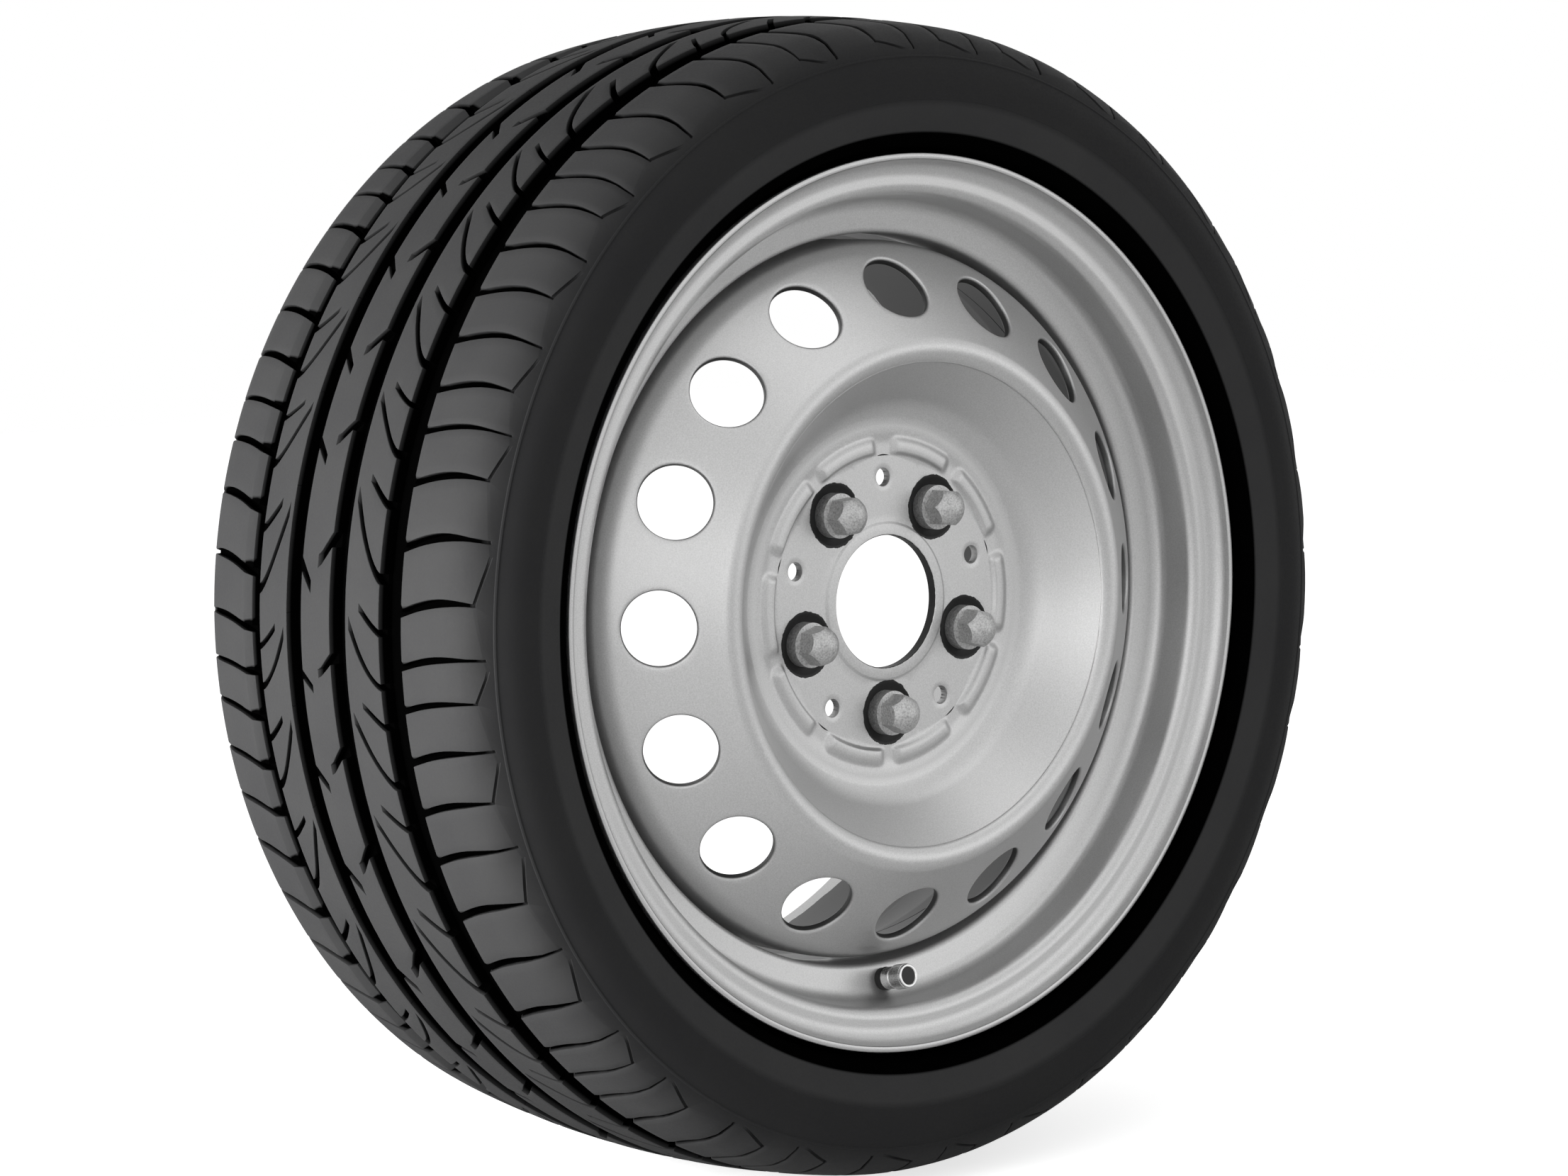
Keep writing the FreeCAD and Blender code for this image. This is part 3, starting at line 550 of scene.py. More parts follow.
def hub_sector(middle, circle, rings, low, high, face, across=40, up=14):
    """One sector of the hub face with a hole: rings are (radius, depth) from the hole's far edge out."""
    edge = sector_edge(BOLT_STEP / 4, low, high, across, up)
    turn = np.radians(edge[:, 0])
    directions = np.arctan2(edge[:, 1] * np.cos(turn) - circle, edge[:, 1] * np.sin(turn))
    rows = []
    for radius, depth in rings:
        ring = hub_ring(directions, circle, radius)
        rows.append(wheel_points(ring[:, 1], face + depth, ring[:, 0] + middle))
    last = hub_ring(directions, circle, rings[-1][0])
    for share in (0.3, 0.65, 1.0):
        spot = last + (edge - last) * share
        rows.append(wheel_points(spot[:, 1], face, spot[:, 0] + middle))
    return np.array(rows)


def vent_ring(directions, radius):
    """A round line on the vent cone as (angle, distance along the slope from the vent's middle)."""
    across = radius * np.cos(directions)
    along = radius * np.sin(directions)
    turn = np.zeros_like(across)
    reach = VENT_CIRCLE + along * VENT_OUT
    for _ in range(5):
        turn = np.arcsin(across / reach)
        reach = (along + VENT_CIRCLE / VENT_OUT) / (np.cos(turn) * VENT_OUT + VENT_BACK ** 2 / VENT_OUT)
    return np.stack([np.degrees(turn), (reach - VENT_CIRCLE) / VENT_OUT], -1)


def vent_spot(along, depth=0.0):
    """Radius and axial place at a distance along the vent cone and a depth under it."""
    radius = VENT_CIRCLE + along * VENT_OUT - depth * VENT_BACK
    return radius, VENT_FRONT + along * VENT_BACK + depth * VENT_OUT


def vent_points(middle, spots, depth):
    """Points on the vent cone, sunk along the vent's own axis."""
    radius, axial = vent_spot(spots[:, 1])
    turn = math.radians(middle)
    inwards = np.array([-VENT_BACK * math.cos(turn), VENT_OUT, -VENT_BACK * math.sin(turn)])
    return wheel_points(radius, axial, spots[:, 0] + middle) + MM * depth * inwards


def vent_sector(middle, rings, depth, across=25, up=24):
    """One sector of the vent cone, or of its back at a depth; rings are (radius, depth) from the hole."""
    edge = sector_edge(180.0 / VENT_COUNT, VENT_FROM, VENT_TO, across, up)
    directions = np.arctan2(edge[:, 1], VENT_CIRCLE * np.radians(edge[:, 0]))
    rows = [vent_points(middle, vent_ring(directions, radius), sink) for radius, sink in rings]
    last = vent_ring(directions, rings[-1][0])
    for share in (0.15, 0.35, 0.6, 1.0):
        spot = last + (edge - last) * share
        rows.append(wheel_points(*vent_spot(spot[:, 1], depth), spot[:, 0] + middle))
    return np.array(rows)


def pad_height(radius, degrees):
    """Height of the raised pads over the hub face."""
    half_step = BOLT_STEP / 2
    place = np.abs((degrees - PAD_FIRST_GAP + half_step) % BOLT_STEP - half_step)
    wide, narrow = PAD_WIDE_GAP / 2, half_step - PAD_NARROW_GAP / 2
    ends = smooth_step(place, wide - 1.8, wide + 1.6) * (1 - smooth_step(place, narrow - 1.6, narrow + 1.8))
    rise = smooth_step(radius, PAD_INNER - 0.8, PAD_INNER + 1.6)
    fall = 1 - smooth_step(radius, PAD_OUTER - 1.0, PAD_OUTER + 5.0)
    shelf = SHELF_HEIGHT * smooth_step(radius, PAD_OUTER - 1.0, PAD_OUTER + 7.0)
    return np.maximum(PAD_HEIGHT * ends * rise * fall, shelf)


def build_disc(material):
    columns = 360.0 * np.arange(WHEEL_COLUMNS) / WHEEL_COLUMNS
    half_column = 180.0 / WHEEL_COLUMNS
    patches, backs = [], []

    # The back value of each patch sets how much painted shade it gets
    def add(grid, back=0.0):
        patches.append((grid, True))
        backs.append(back)

    bore = np.array([
        (HUB_INNER, MOUNTING_FACE), (BORE_RADIUS + 0.4, MOUNTING_FACE), (BORE_RADIUS, MOUNTING_FACE - 0.4),
        (BORE_RADIUS, DISC_FRONT - LAND_HEIGHT + 0.5), (BORE_RADIUS + 0.5, DISC_FRONT - LAND_HEIGHT),
        (LAND_RADIUS - 0.6, DISC_FRONT - LAND_HEIGHT), (LAND_RADIUS, DISC_FRONT - LAND_HEIGHT + 0.15),
        (HUB_INNER - 0.5, DISC_FRONT - 0.1), (HUB_INNER, DISC_FRONT),
    ])
    add(turned_grid(bore), np.array([1.0, 1.0, 0.8] + 6 * [0.0])[:, None])

    seat = [(BOLT_HOLE_RADIUS, DISC_SHEET), (BOLT_HOLE_RADIUS, SEAT_DEPTH), (SEAT_FLOOR, SEAT_DEPTH),
            (SEAT_RIM - 0.8, 0.35), (SEAT_RIM - 0.4, 0.1), (SEAT_RIM, 0.0)]
    small = [(SMALL_HOLE_RADIUS, DISC_SHEET), (SMALL_HOLE_RADIUS, 0.6), (SMALL_HOLE_RADIUS + 0.2, 0.2),
             (SMALL_HOLE_RADIUS + 0.7, 0.0), (SMALL_HOLE_RADIUS + 3.0, 0.0), (SMALL_HOLE_RADIUS + 7.0, 0.0)]
    for k in range(BOLT_COUNT):
        bolt, hole = FIRST_BOLT + BOLT_STEP * k, FIRST_SMALL_HOLE + BOLT_STEP * k
        for middle, circle, rings in ((bolt, BOLT_CIRCLE, seat), (hole, SMALL_HOLE_CIRCLE, small)):
            add(hub_sector(middle, circle, rings, HUB_INNER, HUB_OUTER, DISC_FRONT))
            behind = [(rings[0][0], 0.0), (rings[0][0] + 1.0, 0.0)]
            add(hub_sector(middle, circle, behind, HUB_INNER, HUB_OUTER, MOUNTING_FACE), 1.0)

    pad_rise = PAD_INNER + np.array([-0.3, 0.2, 0.7, 1.2, 1.7, 3.5, 5.0])
    pad_fall = PAD_OUTER + np.array([0.2, 1.4, 2.6, 3.8, 5.0, 8.0])
    pad_rows = np.concatenate([[HUB_OUTER], pad_rise, pad_fall, [PAD_END]])
    radius, degrees = np.meshgrid(pad_rows, columns, indexing="ij")
    axial = np.minimum(front_axial(radius), DISC_FRONT - pad_height(radius, degrees))
    add(wheel_points(radius, axial, degrees))

    vent_start = vent_spot(VENT_FROM)[0]
    vent_end = vent_spot(VENT_TO)[0]
    inside = DISC_PATH[(DISC_PATH[:, 0] > PAD_END + 0.3) & (DISC_PATH[:, 0] < vent_start - 0.3)]
    bowl = [(PAD_END, front_axial(PAD_END)), *map(tuple, inside), (vent_start, front_axial(vent_start))]
    for near, sink in ((-0.9, 0.0), (-0.35, 0.12), (0.0, 0.3), (0.35, 0.12), (0.9, 0.0)):
        spot = CREASE_RADIUS + near
        bowl.append((spot, front_axial(spot) + sink))
    bowl = np.array(sorted(bowl))
    twist = half_column * np.linspace(0, 1, len(bowl))[:, None]
    add(wheel_points(bowl[:, :1], bowl[:, 1:], columns + twist))

    rolled = [(VENT_RADIUS, DISC_SHEET - 0.6), (VENT_RADIUS, 1.4), (VENT_RADIUS + 0.25, 0.6),
              (VENT_RADIUS + 0.8, 0.15), (VENT_RADIUS + 1.6, 0.0)]
    behind = [(VENT_RADIUS, DISC_SHEET - 0.6), (VENT_RADIUS + 0.6, DISC_SHEET)]
    for k in range(VENT_COUNT):
        middle = 360.0 * k / VENT_COUNT
        # The vent walls get painted shade that fades out towards the front edge
        add(vent_sector(middle, rolled, 0.0), np.array([1.0, 0.9, 0.3] + 6 * [0.0])[:, None])
        add(vent_sector(middle, behind, DISC_SHEET), 1.0)

    skirt_front = DISC_PATH[DISC_PATH[:, 0] > vent_end + 0.3]
    back_end = vent_spot(VENT_TO, DISC_SHEET)
    skirt_back = DISC_BACK[(DISC_BACK[:, 1] > back_end[1] + 0.2) & (DISC_BACK[:, 0] > back_end[0])]
    end, skirt_inner = skirt_front[-1][1], SKIRT_RADIUS - DISC_SHEET
    skirt = [(vent_end, front_axial(vent_end)), *map(tuple, skirt_front[:-1])]
    skirt += [(SKIRT_RADIUS, end - SHEET_EDGE), (SKIRT_RADIUS - SHEET_EDGE, end)]
    skirt += [(skirt_inner + SHEET_EDGE, end), (skirt_inner, end - SHEET_EDGE)]
    front_rows = len(skirt)
    skirt += [*map(tuple, skirt_back[::-1][1:]), back_end]
    behind_skirt = (np.arange(len(skirt))[:, None] >= front_rows - 1) * 1.0
    add(turned_grid(np.array(skirt), half_column), behind_skirt)

    back_start = vent_spot(VENT_FROM, DISC_SHEET)
    hollow = DISC_BACK[(DISC_BACK[:, 0] > HUB_OUTER + 1.0) & (DISC_BACK[:, 0] < back_start[0] - 0.3)]
    back = np.array([(HUB_OUTER, MOUNTING_FACE), *map(tuple, hollow), back_start])
    twist = half_column * np.linspace(0, 1, len(back))[:, None]
    add(wheel_points(back[:, :1], back[:, 1:], columns + twist), 1.0)

    mesh = make_mesh("disc_pressing", patches, 40.0, ("back", backs))
    mark_seats(mesh)
    add_piece("disc_pressing", mesh, material, "disc")


def mark_seats(mesh):
    """Distance in millimetres outside the black seats and the black bore, for the paint."""
    place = np.zeros(len(mesh.vertices) * 3)
    mesh.vertices.foreach_get("co", place)
    place = place.reshape(-1, 3) / MM
    edge = np.full(len(place), FAR_FROM_SEATS)
    for k in range(BOLT_COUNT):
        turn = math.radians(FIRST_BOLT + BOLT_STEP * k)
        bolt_x, bolt_z = BOLT_CIRCLE * math.cos(turn), BOLT_CIRCLE * math.sin(turn)
        edge = np.minimum(edge, np.hypot(place[:, 0] - bolt_x, place[:, 2] - bolt_z) - BLACK_SEAT_RADIUS)
    edge = np.minimum(edge, (np.hypot(place[:, 0], place[:, 2]) - BORE_RADIUS - 0.3) * 3)
    layer = mesh.attributes.new("seat_edge", "FLOAT", "POINT")
    layer.data.foreach_set("value", edge.astype(np.float32))


# Tyre

def pitch_angles():
    """Angle of each pitch line round the tyre."""
    share = np.array([PITCH_SHARE[letter] for letter in PITCHES])
    return FIRST_SLOT + 360.0 * np.concatenate([[0], np.cumsum(share)]) / share.sum()


PITCH_LINES = pitch_angles()


def turn_at(pitch):
    """Angle at a place counted in pitches, smooth from one pitch to the next."""
    count = len(PITCHES)
    k = np.floor(pitch).astype(int)
    f = pitch - k

    def line(i):
        return PITCH_LINES[i % count] + 360.0 * (i // count)

    start, end = line(k), line(k + 1)
    lead, follow = (line(k + 1) - line(k - 1)) / 2, (line(k + 2) - line(k)) / 2
    return ((2 * f ** 3 - 3 * f ** 2 + 1) * start + (f ** 3 - 2 * f ** 2 + f) * lead
            + (3 * f ** 2 - 2 * f ** 3) * end + (f ** 3 - f ** 2) * follow)


def crown(axial):
    return TYRE_RADIUS - CROWN_DROP * (axial / TREAD_HALF) ** 2


def side_profile():
    """Outer line of one side from the tread to the bead toe, as (radius, distance from the middle)."""
    corners = [
        (crown(SHOULDER_START), SHOULDER_START, 0), (crown(93.0), 93.0, 30.0), (279.5, 105.5, 14.0),
        (*RING_SPOT, 0), (262.0, 114.6, 26.0), (*STEP_SPOT, 0), (238.0, 113.4, 40.0), (*PROTECTOR_SPOT, 3.0),
        (225.3, 98.45, 2.0), (215.3, 95.05, 0), (209.5, 95.05, 0), (203.0, 88.7, 0), (201.3, 76.3, 0),
    ]
    path = rounded(corners, 3.0)
    length = np.concatenate([[0], np.cumsum(np.linalg.norm(np.diff(path, axis=0), axis=1))])
    return path, length


SIDE_PATH, SIDE_LENGTH = side_profile()


def length_at(spot):
    """Length along the side's outer line at its point nearest to this spot."""
    return float(SIDE_LENGTH[np.argmin(np.hypot(SIDE_PATH[:, 0] - spot[0], SIDE_PATH[:, 1] - spot[1]))])


RING_LINE = length_at(RING_SPOT)
STEP_LINE = length_at(STEP_SPOT)
# Painted shadow: past this length down the side the rubber is near black, for the shade in the gap against
# the rim flange
GAP_START = length_at(PROTECTOR_SPOT) - 5.0


def side_spot(length):
    """Place and inward direction on the side's outer line at this length."""
    def at(value):
        return np.stack([np.interp(value, SIDE_LENGTH, SIDE_PATH[:, k]) for k in (0, 1)], -1)

    ahead = at(length + 0.4) - at(length - 0.4)
    ahead /= np.linalg.norm(ahead, axis=-1, keepdims=True)
    return at(length), np.stack([-ahead[..., 1], ahead[..., 0]], -1)


EVEN_COLUMNS = GRID_STEP * np.arange(REPEAT_COLUMNS)
WALL = 0.25
EDGE = 0.5
EDGE_DROP = 0.22
GROOVE_WALL = 0.6
GROOVE_EDGE = 0.25
SIPE_DEPTH = 5.5
# Depths at which the painted shade in the cuts and shoulder slots is full
DARK_DEPTH = 1.6
SHOULDER_DARK_DEPTH = 3.5
RIB_WIDTH = 19.3


def cut_columns(cuts):
    """Places and depths of one repeat's columns for two cuts of (place, half width, depth, corner)."""
    groups, depths = [], []
    for place, half, depth, corner in cuts:
        wall = min(WALL, 0.4 * half)
        reach = np.array([-half - EDGE - corner, -half, wall - half, half - wall, half, half + EDGE])
        drop = min(EDGE_DROP, depth)
        groups.append(place + reach / PITCH_LENGTH)
        depths.append(np.array([0, max(drop, 0.8 * corner), depth, depth, drop, 0]))
    spots, sinks = [], []
    for k, (group, depth) in enumerate(zip(groups, depths)):
        after = groups[1][0] if k == 0 else groups[0][0] + 2
        spots += [group, group[-1] + (after - group[-1]) * np.arange(1, 5) / 5]
        sinks += [depth, np.zeros(4)]
    return np.concatenate(spots), np.concatenate(sinks)


def repeat_round(spots):
    """One repeat's places carried round the tyre, in pitches."""
    return (spots[None, :] + 2 * np.arange(REPEATS)[:, None]).reshape(-1)


def tyre_row(radius, axial, spots):
    return wheel_points(radius, axial, turn_at(repeat_round(spots)))


def groove_floor(groove):
    return crown(groove) - GROOVE_DEPTH


def floor_row(groove, side, shift):
    """A row along a groove's floor, with its marks for the painted shade."""
    row = tyre_row(groove_floor(groove), side * groove, EVEN_COLUMNS + shift)
    return row, np.ones(REPEATS * REPEAT_COLUMNS)


def cut_row(axial, side, cuts, sunk):
    """A row along a rib with its cuts, and with its marks for the painted shade."""
    spots, sink = cut_columns(cuts)
    depth = np.tile(np.maximum(sink, sunk), REPEATS)
    return tyre_row(crown(axial) - depth, side * axial, spots), np.clip(depth / DARK_DEPTH, 0, 1)


def nearest_step(place):
    return GRID_STEP * round((place - 0.25) / GRID_STEP)


def long_sipe(axial, exit_place):
    """Line of a rib's long sipe: it leaves the outer groove aslant and bends along the inner one."""
    share = (OUTER_GROOVE - GROOVE_HALF - axial) / RIB_WIDTH
    return exit_place - 1.06 * share ** 1.45


def notch_line(axial, exit_place):
    """Line of a rib's notch, which leans less than the long sipe."""
    share = (OUTER_GROOVE - GROOVE_HALF - axial) / RIB_WIDTH
    return exit_place - 0.6 * share ** 1.2


def rib_rows(side, exit_place, notch_step):
    """The rib between an inner and an outer groove, with a long sipe and a notch in each repeat."""
    outer, inner = OUTER_GROOVE - GROOVE_HALF, INNER_GROOVE + GROOVE_HALF

    def cut(axial, sunk=0.0):
        place = long_sipe(min(axial, outer), exit_place)
        notch = notch_line(min(axial, outer), exit_place + notch_step)
        half = 3.1 - 0.9 * smooth_step(axial, 28.0, 42.0)
        cuts = [(place, half, SIPE_DEPTH * smooth_step(axial, 27.0, 29.0), 0.0),
                (notch, 1.8, SIPE_DEPTH * smooth_step(axial, 34.0, 36.0), 0.0)]
        return cut_row(axial, side, cuts, sunk)

    between = (outer - 0.5, 46.3, 44.0, 41.5, 39.0, 36.5, 34.0, 31.5, 29.0, 26.5, inner + 0.5)
    rows, marks = zip(
        floor_row(OUTER_GROOVE, side, nearest_step(exit_place)),
        cut(outer + GROOVE_WALL, GROOVE_DEPTH),
        cut(outer, GROOVE_EDGE),
        *[cut(axial) for axial in between],
        cut(inner, GROOVE_EDGE),
        cut(inner - GROOVE_WALL, GROOVE_DEPTH),
        floor_row(INNER_GROOVE, side, nearest_step(long_sipe(inner, exit_place))))
    return np.array(rows), np.array(marks)


def centre_rows():
    """The middle rib, with a wedge notch from each of its grooves in each repeat."""
    edge = INNER_GROOVE - GROOVE_HALF

    def cut(axial, sunk=0.0):
        first = np.interp(axial, [-edge, -2.0, 4.5, edge], [-0.08, 0.28, 0.1, -0.25])
        second = np.interp(axial, [-edge, -2.0, 4.5, edge], [0.95, 0.85, 0.63, 0.33])
        open_first = 1 - smooth_step(axial, -edge, -1.5)
        open_second = smooth_step(axial, 3.5, edge)
        cuts = [(first, 2.6 + 0.4 * open_first, SIPE_DEPTH * (1 - smooth_step(axial, -3.5, -1.5)), 0.0),
                (second, 2.6 + 0.3 * open_second, SIPE_DEPTH * smooth_step(axial, 3.5, 5.5), 0.0)]
        return cut_row(axial, 1, cuts, sunk)

    between = (-edge + 0.5, -9.0, -6.5, -4.0, -1.5, 1.0, 3.5, 5.5, 7.5, 9.5, edge - 0.5)
    rows, marks = zip(
        floor_row(INNER_GROOVE, -1, -0.3),
        cut(-edge - GROOVE_WALL, GROOVE_DEPTH),
        cut(-edge, GROOVE_EDGE),
        *[cut(axial) for axial in between],
        cut(edge, GROOVE_EDGE),
        cut(edge + GROOVE_WALL, GROOVE_DEPTH),
        floor_row(INNER_GROOVE, 1, -0.5))
    return np.array(rows), np.array(marks)


SLOT_BOW = 6.9
SLOT_TOP = 0.8


def slot_bow(share):
    """Bow of a shoulder slot along the tread, in pitches, from its groove end."""
    return SLOT_BOW * (((share - SLOT_TOP) / SLOT_TOP) ** 2 - 1) / PITCH_LENGTH


BLOCK_CHAMFER = 3.2
RUN_START = 25.0
RUN_DRIFT = 6.5
RUN_DEPTH = 0.9
RUN_HALF = 0.5
RUN_TIP = 0.25


def run_place(spots, phase):
    """Where the run along the shoulder lies at these places, and how deep it is there."""
    along = (spots - phase - slot_bow(1.0)) % 2.0
    up = (along >= RUN_TIP) & (along <= 1.0)
    drift = np.where(up, (1.0 - along) / (1.0 - RUN_TIP), ((along - 1.0) % 2.0) / (1.0 + RUN_TIP))
    depth = np.where(up, RUN_DEPTH * smooth_step(along, RUN_TIP, RUN_TIP + 0.25), 0.0)
    return RUN_START + RUN_DRIFT * np.clip(drift, 0, 1), depth


def shoulder_rows(side, phase):
    """A shoulder from its groove out over the tread edge and down the sidewall to the bead toe."""
    inner = OUTER_GROOVE + GROOVE_HALF
    dark = np.ones(REPEAT_COLUMNS)
    even = EVEN_COLUMNS + nearest_step(phase)
    rows, marks = [], []

    def add(radius, axial, spots, mark):
        rows.append(tyre_row(np.tile(radius, REPEATS), side * np.tile(axial, REPEATS), spots))
        marks.append(np.tile(mark, REPEATS))

    def columns(share, depth, half, corner=0.0):
        bow = phase + slot_bow(share)
        return cut_columns([(bow, half, depth, corner), (bow + 1.0, half, depth, corner)])

    def tread(axial, sunk, depth, half, corner=0.0):
        spots, sink = columns((axial - inner) / (SLOT_REACH - inner), depth, half, corner)
        mark = np.clip(sink / DARK_DEPTH, 0, 1) if sunk < GROOVE_DEPTH else dark
        add(crown(axial) - np.maximum(sink, sunk), np.full(REPEAT_COLUMNS, axial), spots, mark)

    def over(length, depth, half, lift=0.0, fade=0.0, run=None):
        at = side_spot(np.array(length))[0]
        spots, sink = columns(min(1.0, (at[1] - inner) / (SLOT_REACH - inner)), depth, half)
        spots = spots + (even - spots) * fade
        reach = np.full(REPEAT_COLUMNS, float(length))
        if run is not None:
            middle, deep = run_place(spots, phase)
            reach = middle + run[0]
            sink = np.maximum(sink, deep * run[1])
        place, inwards = side_spot(reach)
        spot = place + inwards * (sink - lift)[:, None]
        # Painted shade in the slots and the run, and near black past GAP_START for the shadow in the gap
        # against the rim
        mark = np.clip(sink / SHOULDER_DARK_DEPTH, 0, 1) if length < GAP_START else dark
        add(spot[:, 0], spot[:, 1], spots, mark)

    add(groove_floor(OUTER_GROOVE) * dark, OUTER_GROOVE * dark, even, dark)
    tread(inner - GROOVE_WALL, GROOVE_DEPTH, GROOVE_DEPTH, 1.7, 3.4)
    tread(inner, BLOCK_CHAMFER, 6.3, 1.7, 3.4)
    tread(inner + BLOCK_CHAMFER, EDGE_DROP, 6.3, 1.7, 1.6)
    tread(inner + BLOCK_CHAMFER + EDGE, 0.0, 6.2, 1.75, 1.0)
    for axial in (68.5, 73.0, 77.5, SHOULDER_START - 0.4):
        tread(axial, 0.0, 6.0, 1.85)
    for length, depth, half in ((4.0, 5.6, 1.8), (8.5, 5.0, 1.65), (13.0, 4.2, 1.4),
                                (17.0, 3.2, 1.1), (20.5, 2.2, 0.9)):
        over(length, depth, half)
    for gap, share in ((-RUN_HALF - 0.4, 0.0), (-RUN_HALF, 1.0), (RUN_HALF, 1.0), (RUN_HALF + 0.4, 0.0)):
        over(RUN_START, 1.1 if gap <= RUN_HALF else 0.0, 0.75, run=(gap, share))
    over(RING_LINE - 0.9, 0.0, 1.0, fade=0.4)
    for gap, lift in ((-0.5, 0.35), (0.3, 0.45), (0.9, 0.0)):
        over(RING_LINE + gap, 0.0, 1.0, lift, 0.7)
    for length in np.linspace(RING_LINE + 2.5, STEP_LINE - 0.6, 7):
        over(length, 0.0, 1.0, fade=1.0)
    for length, lift in ((STEP_LINE, 0.0), (STEP_LINE + 0.5, -0.35)):
        over(length, 0.0, 1.0, lift, 1.0)
    for length in np.linspace(STEP_LINE + 3, STEP_LINE + 19, 6):
        over(length, 0.0, 1.0, -0.35, 1.0)
    for length in SIDE_LENGTH[SIDE_LENGTH > STEP_LINE + 20]:
        over(length, 0.0, 1.0, fade=1.0)
    return np.array(rows), np.array(marks)


def liner_rows():
    """The tyre's inner side from one bead toe to the other."""
    toe = SIDE_PATH[-1]
    half = [(toe[0], toe[1]), (220.3, 79.3), (253.0, 106.5), (267.5, 101.0), (272.9, 87.5), (278.9, 40.0)]
    path = np.array([(r, -a) for r, a in half] + [(r, a) for r, a in reversed(half)])
    rows = [tyre_row(np.full(1, r), a, EVEN_COLUMNS) for r, a in path]
    return np.array(rows), np.ones((len(rows), 1))


def build_tyre(material):
    zones = [shoulder_rows(-1, 0.0), rib_rows(-1, 0.45, 0.88), centre_rows(), rib_rows(1, 0.77, 1.06),
             shoulder_rows(1, 0.53), liner_rows()]
    patches = [(rows, True) for rows, marks in zones]
    mesh = make_mesh("tyre_casing", patches, 32.0, ("cut", [marks for rows, marks in zones]))
    add_piece("tyre_casing", mesh, material, "tyre")


# Camera, light and stage

PICTURE_WIDTH = 2212
FOCAL_PIXELS = 6479.35
SENSOR = 36.0
VIEW_AZIMUTH = -40.99
VIEW_ELEVATION = 4.42
VIEW_DISTANCE = 2300.0
VIEW_RIGHT = -50.8
VIEW_UP = 6.67
WHEEL_TURN = 1.53
WORLD_LIGHT = 0.5
FLOOR_REACH = 6.0
FLOOR_GAP = 0.0005
FLOOR_GLOW = 0.7


def build_camera():
    """The photograph's camera, which sees the wheel turned a little on its axle."""
    a, e = math.radians(VIEW_AZIMUTH), math.radians(VIEW_ELEVATION)
    back = Vector((math.sin(a) * math.cos(e), -math.cos(a) * math.cos(e), math.sin(e)))
    right = Vector((math.cos(a), math.sin(a), 0))
    up = back.cross(right)
    hub = Vector((0, DISC_FRONT, 0))
    place = (hub + VIEW_DISTANCE * back + VIEW_RIGHT * right + VIEW_UP * up) * MM
    axes = Matrix((right, up, back)).transposed().to_4x4()
    camera = bpy.data.objects.new("camera", bpy.data.cameras.new("camera"))
    camera.matrix_world = Matrix.Rotation(math.radians(WHEEL_TURN), 4, "Y") @ Matrix.Translation(place) @ axes
    camera.data.sensor_width = SENSOR
    camera.data.lens = SENSOR * FOCAL_PIXELS / PICTURE_WIDTH
    camera.data.clip_end = 20.0
    bpy.context.scene.collection.objects.link(camera)
    bpy.context.scene.camera = camera
    bpy.context.scene.view_settings.view_transform = "Standard"


def add_softbox(name, place, aim, width, height, power):
    light = bpy.data.lights.new(name, "AREA")
    light.shape = "RECTANGLE"
    light.size = width
    light.size_y = height
    light.energy = power
    lamp = bpy.data.objects.new(name, light)
    lamp.location = place
    lamp.visible_camera = False
    lamp.rotation_euler = (Vector(aim) - Vector(place)).to_track_quat("-Z", "Y").to_euler()
    bpy.context.scene.collection.objects.link(lamp)


def camera_white(tree, light_strength):
    """Strength 1 for what the camera, mirrors and glass see, and this strength as light."""
    path = tree.nodes.new("ShaderNodeLightPath")
    seen = math_node(tree, "MAXIMUM", path.outputs["Is Camera Ray"], path.outputs["Is Glossy Ray"])
    seen = math_node(tree, "MAXIMUM", seen, path.outputs["Is Transmission Ray"])
    return math_node(tree, "ADD", light_strength, math_node(tree, "MULTIPLY", seen, 1.0 - light_strength))


def build_stage():
    world = bpy.data.worlds.new("studio")
    bpy.context.scene.world = world
    world.use_nodes = True
    tree = world.node_tree
    background = tree.nodes["Background"]
    background.inputs["Color"].default_value = (1, 1, 1, 1)
    tree.links.new(camera_white(tree, WORLD_LIGHT), background.inputs["Strength"])

    floor_mesh = bpy.data.meshes.new("floor")
    low = cad_box[0].z - FLOOR_GAP
    corners = [(-FLOOR_REACH, -FLOOR_REACH, low), (FLOOR_REACH, -FLOOR_REACH, low),
               (FLOOR_REACH, FLOOR_REACH, low), (-FLOOR_REACH, FLOOR_REACH, low)]
    floor_mesh.from_pydata(corners, [], [(0, 1, 2, 3)])
    floor = bpy.data.objects.new("floor", floor_mesh)
    bpy.context.scene.collection.objects.link(floor)
    material, tree, shader = new_material("floor")
    shader.inputs["Base Color"].default_value = (0.82, 0.82, 0.82, 1)
    shader.inputs["Roughness"].default_value = 0.9
    shader.inputs["Emission Color"].default_value = (1, 1, 1, 1)
    path = tree.nodes.new("ShaderNodeLightPath")
    glow = math_node(tree, "MULTIPLY", path.outputs["Is Camera Ray"], FLOOR_GLOW)
    tree.links.new(glow, shader.inputs["Emission Strength"])
    floor_mesh.materials.append(material)

    add_softbox("key", (-2.2, -1.6, 0.4), (0, 0, 0), 2.4, 1.8, 12.4)
    add_softbox("side", (-1.15, 0.05, 0.0), (0, 0, 0), 0.5, 0.4, 19)
    add_softbox("fill", (1.9, -2.4, 0.2), (0, 0, 0), 2.0, 1.6, 8)
    add_softbox("top", (0.4, -1.2, 2.6), (0, 0, 0), 2.0, 1.2, 6)


# Valve and the nodes that keep their own form

KNURL_TEETH = 60
KNURL_HEIGHT = 0.4
KNURL_SUNK = 0.15
KNURL_FOOT = 0.7
KNURL_TOP = 1.1
KNURL_CHAMFER = 0.35


def joint_named(name):
    return next(j for j in frame["record"]["behaviour"]["joints"] if j["name"] == name)


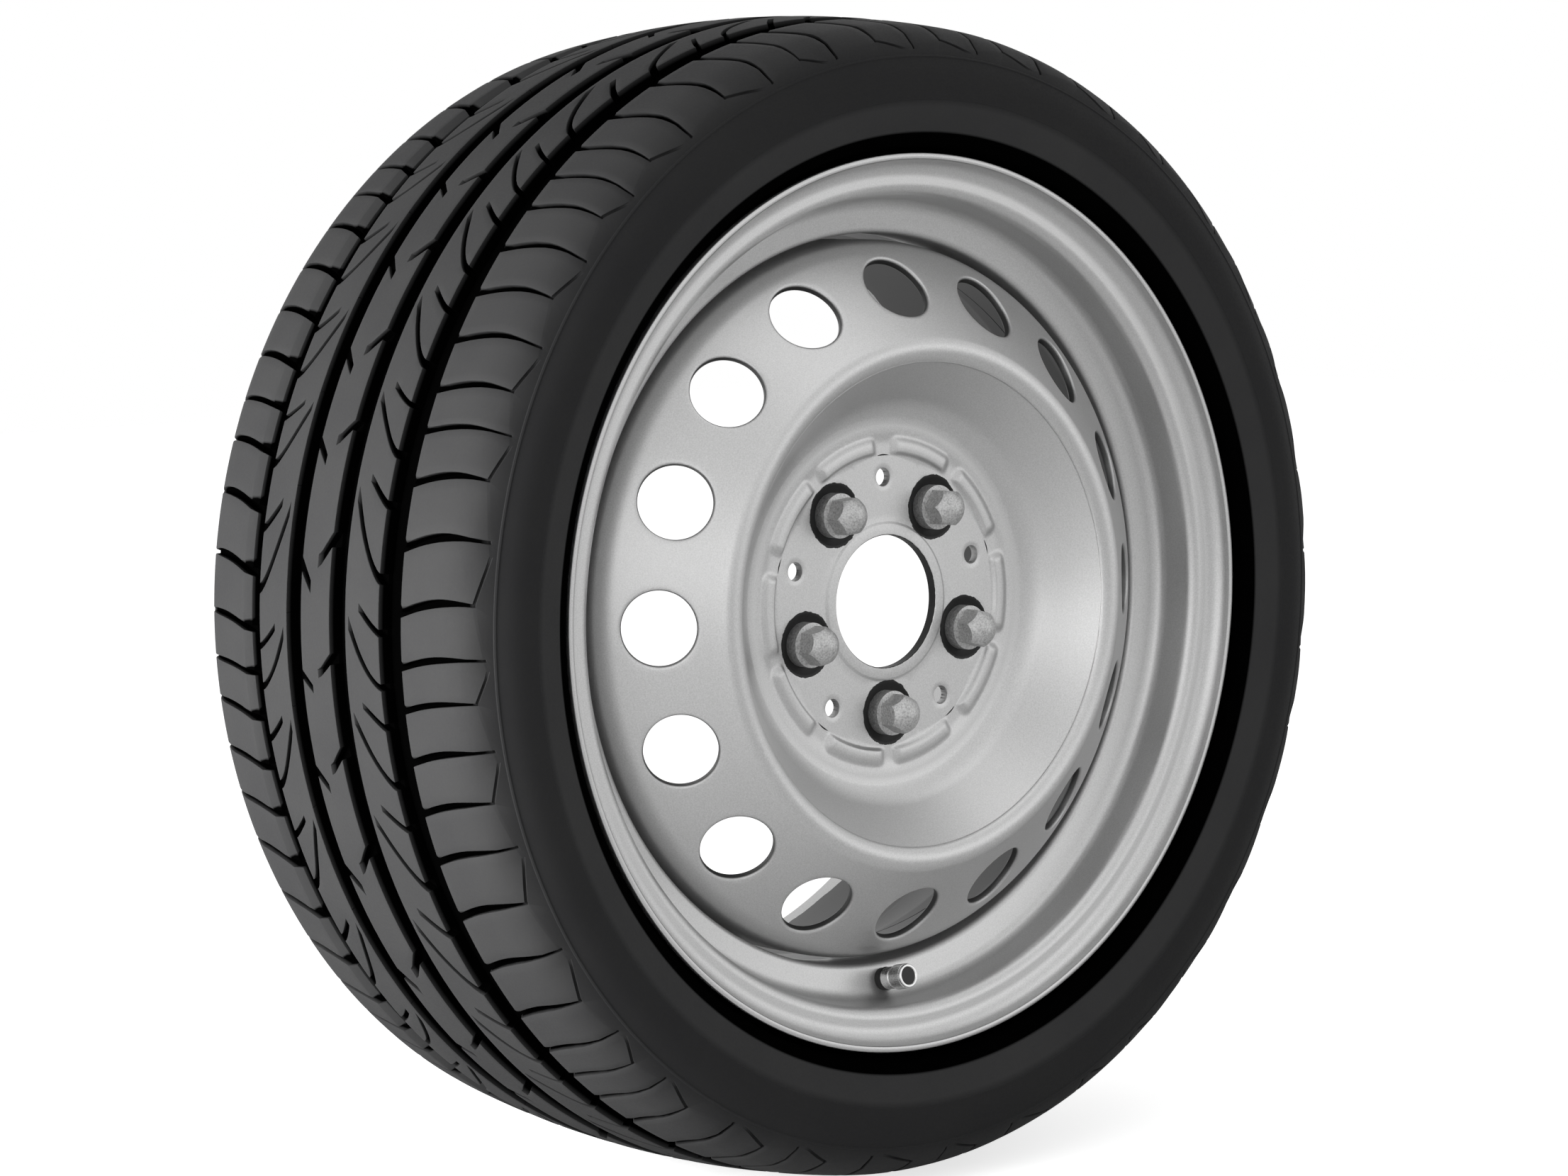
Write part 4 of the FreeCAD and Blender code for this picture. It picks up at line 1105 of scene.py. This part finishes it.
def build_spring(material):
    """The valve core's spring, copied from its node into a piece with a mesh of its own."""
    node = frame["nodes"]["valve_core_spring"]
    piece = add_piece("core_spring", node.data.copy(), material, "valve_core_spring")
    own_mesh(piece)


def build_knurl(material):
    """A band of fine straight teeth round the valve cap, which keeps its own form inside."""
    joint = joint_named("valve_cap_unscrew")
    axis, origin = np.array(joint["axis"]), np.array(joint["pos_m"])
    across = np.array([1.0, 0.0, 0.0])
    upright = np.cross(axis, across)
    cap = frame["nodes"]["valve_cap"]
    spots = np.array([cap.matrix_world @ v.co for v in cap.data.vertices]) - origin
    along = spots @ axis
    radius = np.linalg.norm(spots - along[:, None] * axis, axis=1).max() / MM
    foot, top = along.min() / MM + KNURL_FOOT, along.max() / MM - KNURL_TOP
    tooth = np.tile([0.0, KNURL_HEIGHT, KNURL_HEIGHT, 0.0], KNURL_TEETH)
    sunk = np.full(len(tooth), -KNURL_SUNK)
    turn = 2 * math.pi * np.repeat(np.arange(KNURL_TEETH), 4) / KNURL_TEETH
    turn = turn + np.tile([0.0, 0.3, 0.5, 0.8], KNURL_TEETH) * 2 * math.pi / KNURL_TEETH
    outwards = np.cos(turn)[:, None] * across + np.sin(turn)[:, None] * upright
    rows = []
    for height, place in ((sunk, foot), (tooth, foot + KNURL_CHAMFER), (tooth, top - KNURL_CHAMFER),
                          (sunk, top), (sunk, foot)):
        rows.append(origin + MM * (place * axis + (radius + height)[:, None] * outwards))
    piece = bpy.data.objects.new("cap_knurl", make_mesh("cap_knurl", [(np.array(rows), True)], 20.0))
    bpy.context.scene.collection.objects.link(piece)
    piece.data.materials.append(material)
    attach(piece, "cap")


def dress_nodes(finishes):
    for name, material in finishes.items():
        node = frame["nodes"][name]
        node.data.materials.clear()
        node.data.materials.append(material)


nickel = plated_metal("nickel_plate", (0.66, 0.66, 0.66), 0.22)
brass = plated_metal("turned_brass", (0.72, 0.55, 0.28), 0.3)
zinc = zinc_coat()
grommet_rubber = black_moulding("grommet_rubber", 0.02, 0.55)
cap_plastic = black_moulding("cap_plastic", 0.015, 0.4)
weld_coat = black_moulding("weld_coat", 0.09, 0.5)

build_rim(silver_paint("silver_paint_rim", painted_shade_inside=True))
build_disc(silver_paint("silver_paint_masked", masked=True))
build_tyre(tyre_rubber())
build_knurl(nickel)
build_spring(zinc)
dress_nodes({
    "disc_welds": weld_coat, "wheel_bolts": zinc,
    "valve_stem": nickel, "valve_grommet": grommet_rubber, "valve_nut": nickel,
    "valve_core_plug": brass, "valve_core_gasket": grommet_rubber, "valve_core_pin": brass,
    "valve_core_cup": brass, "valve_core_cup_seal": grommet_rubber,
    "valve_cap": nickel, "valve_cap_insert": cap_plastic, "valve_cap_seal": grommet_rubber,
})
build_camera()
build_stage()
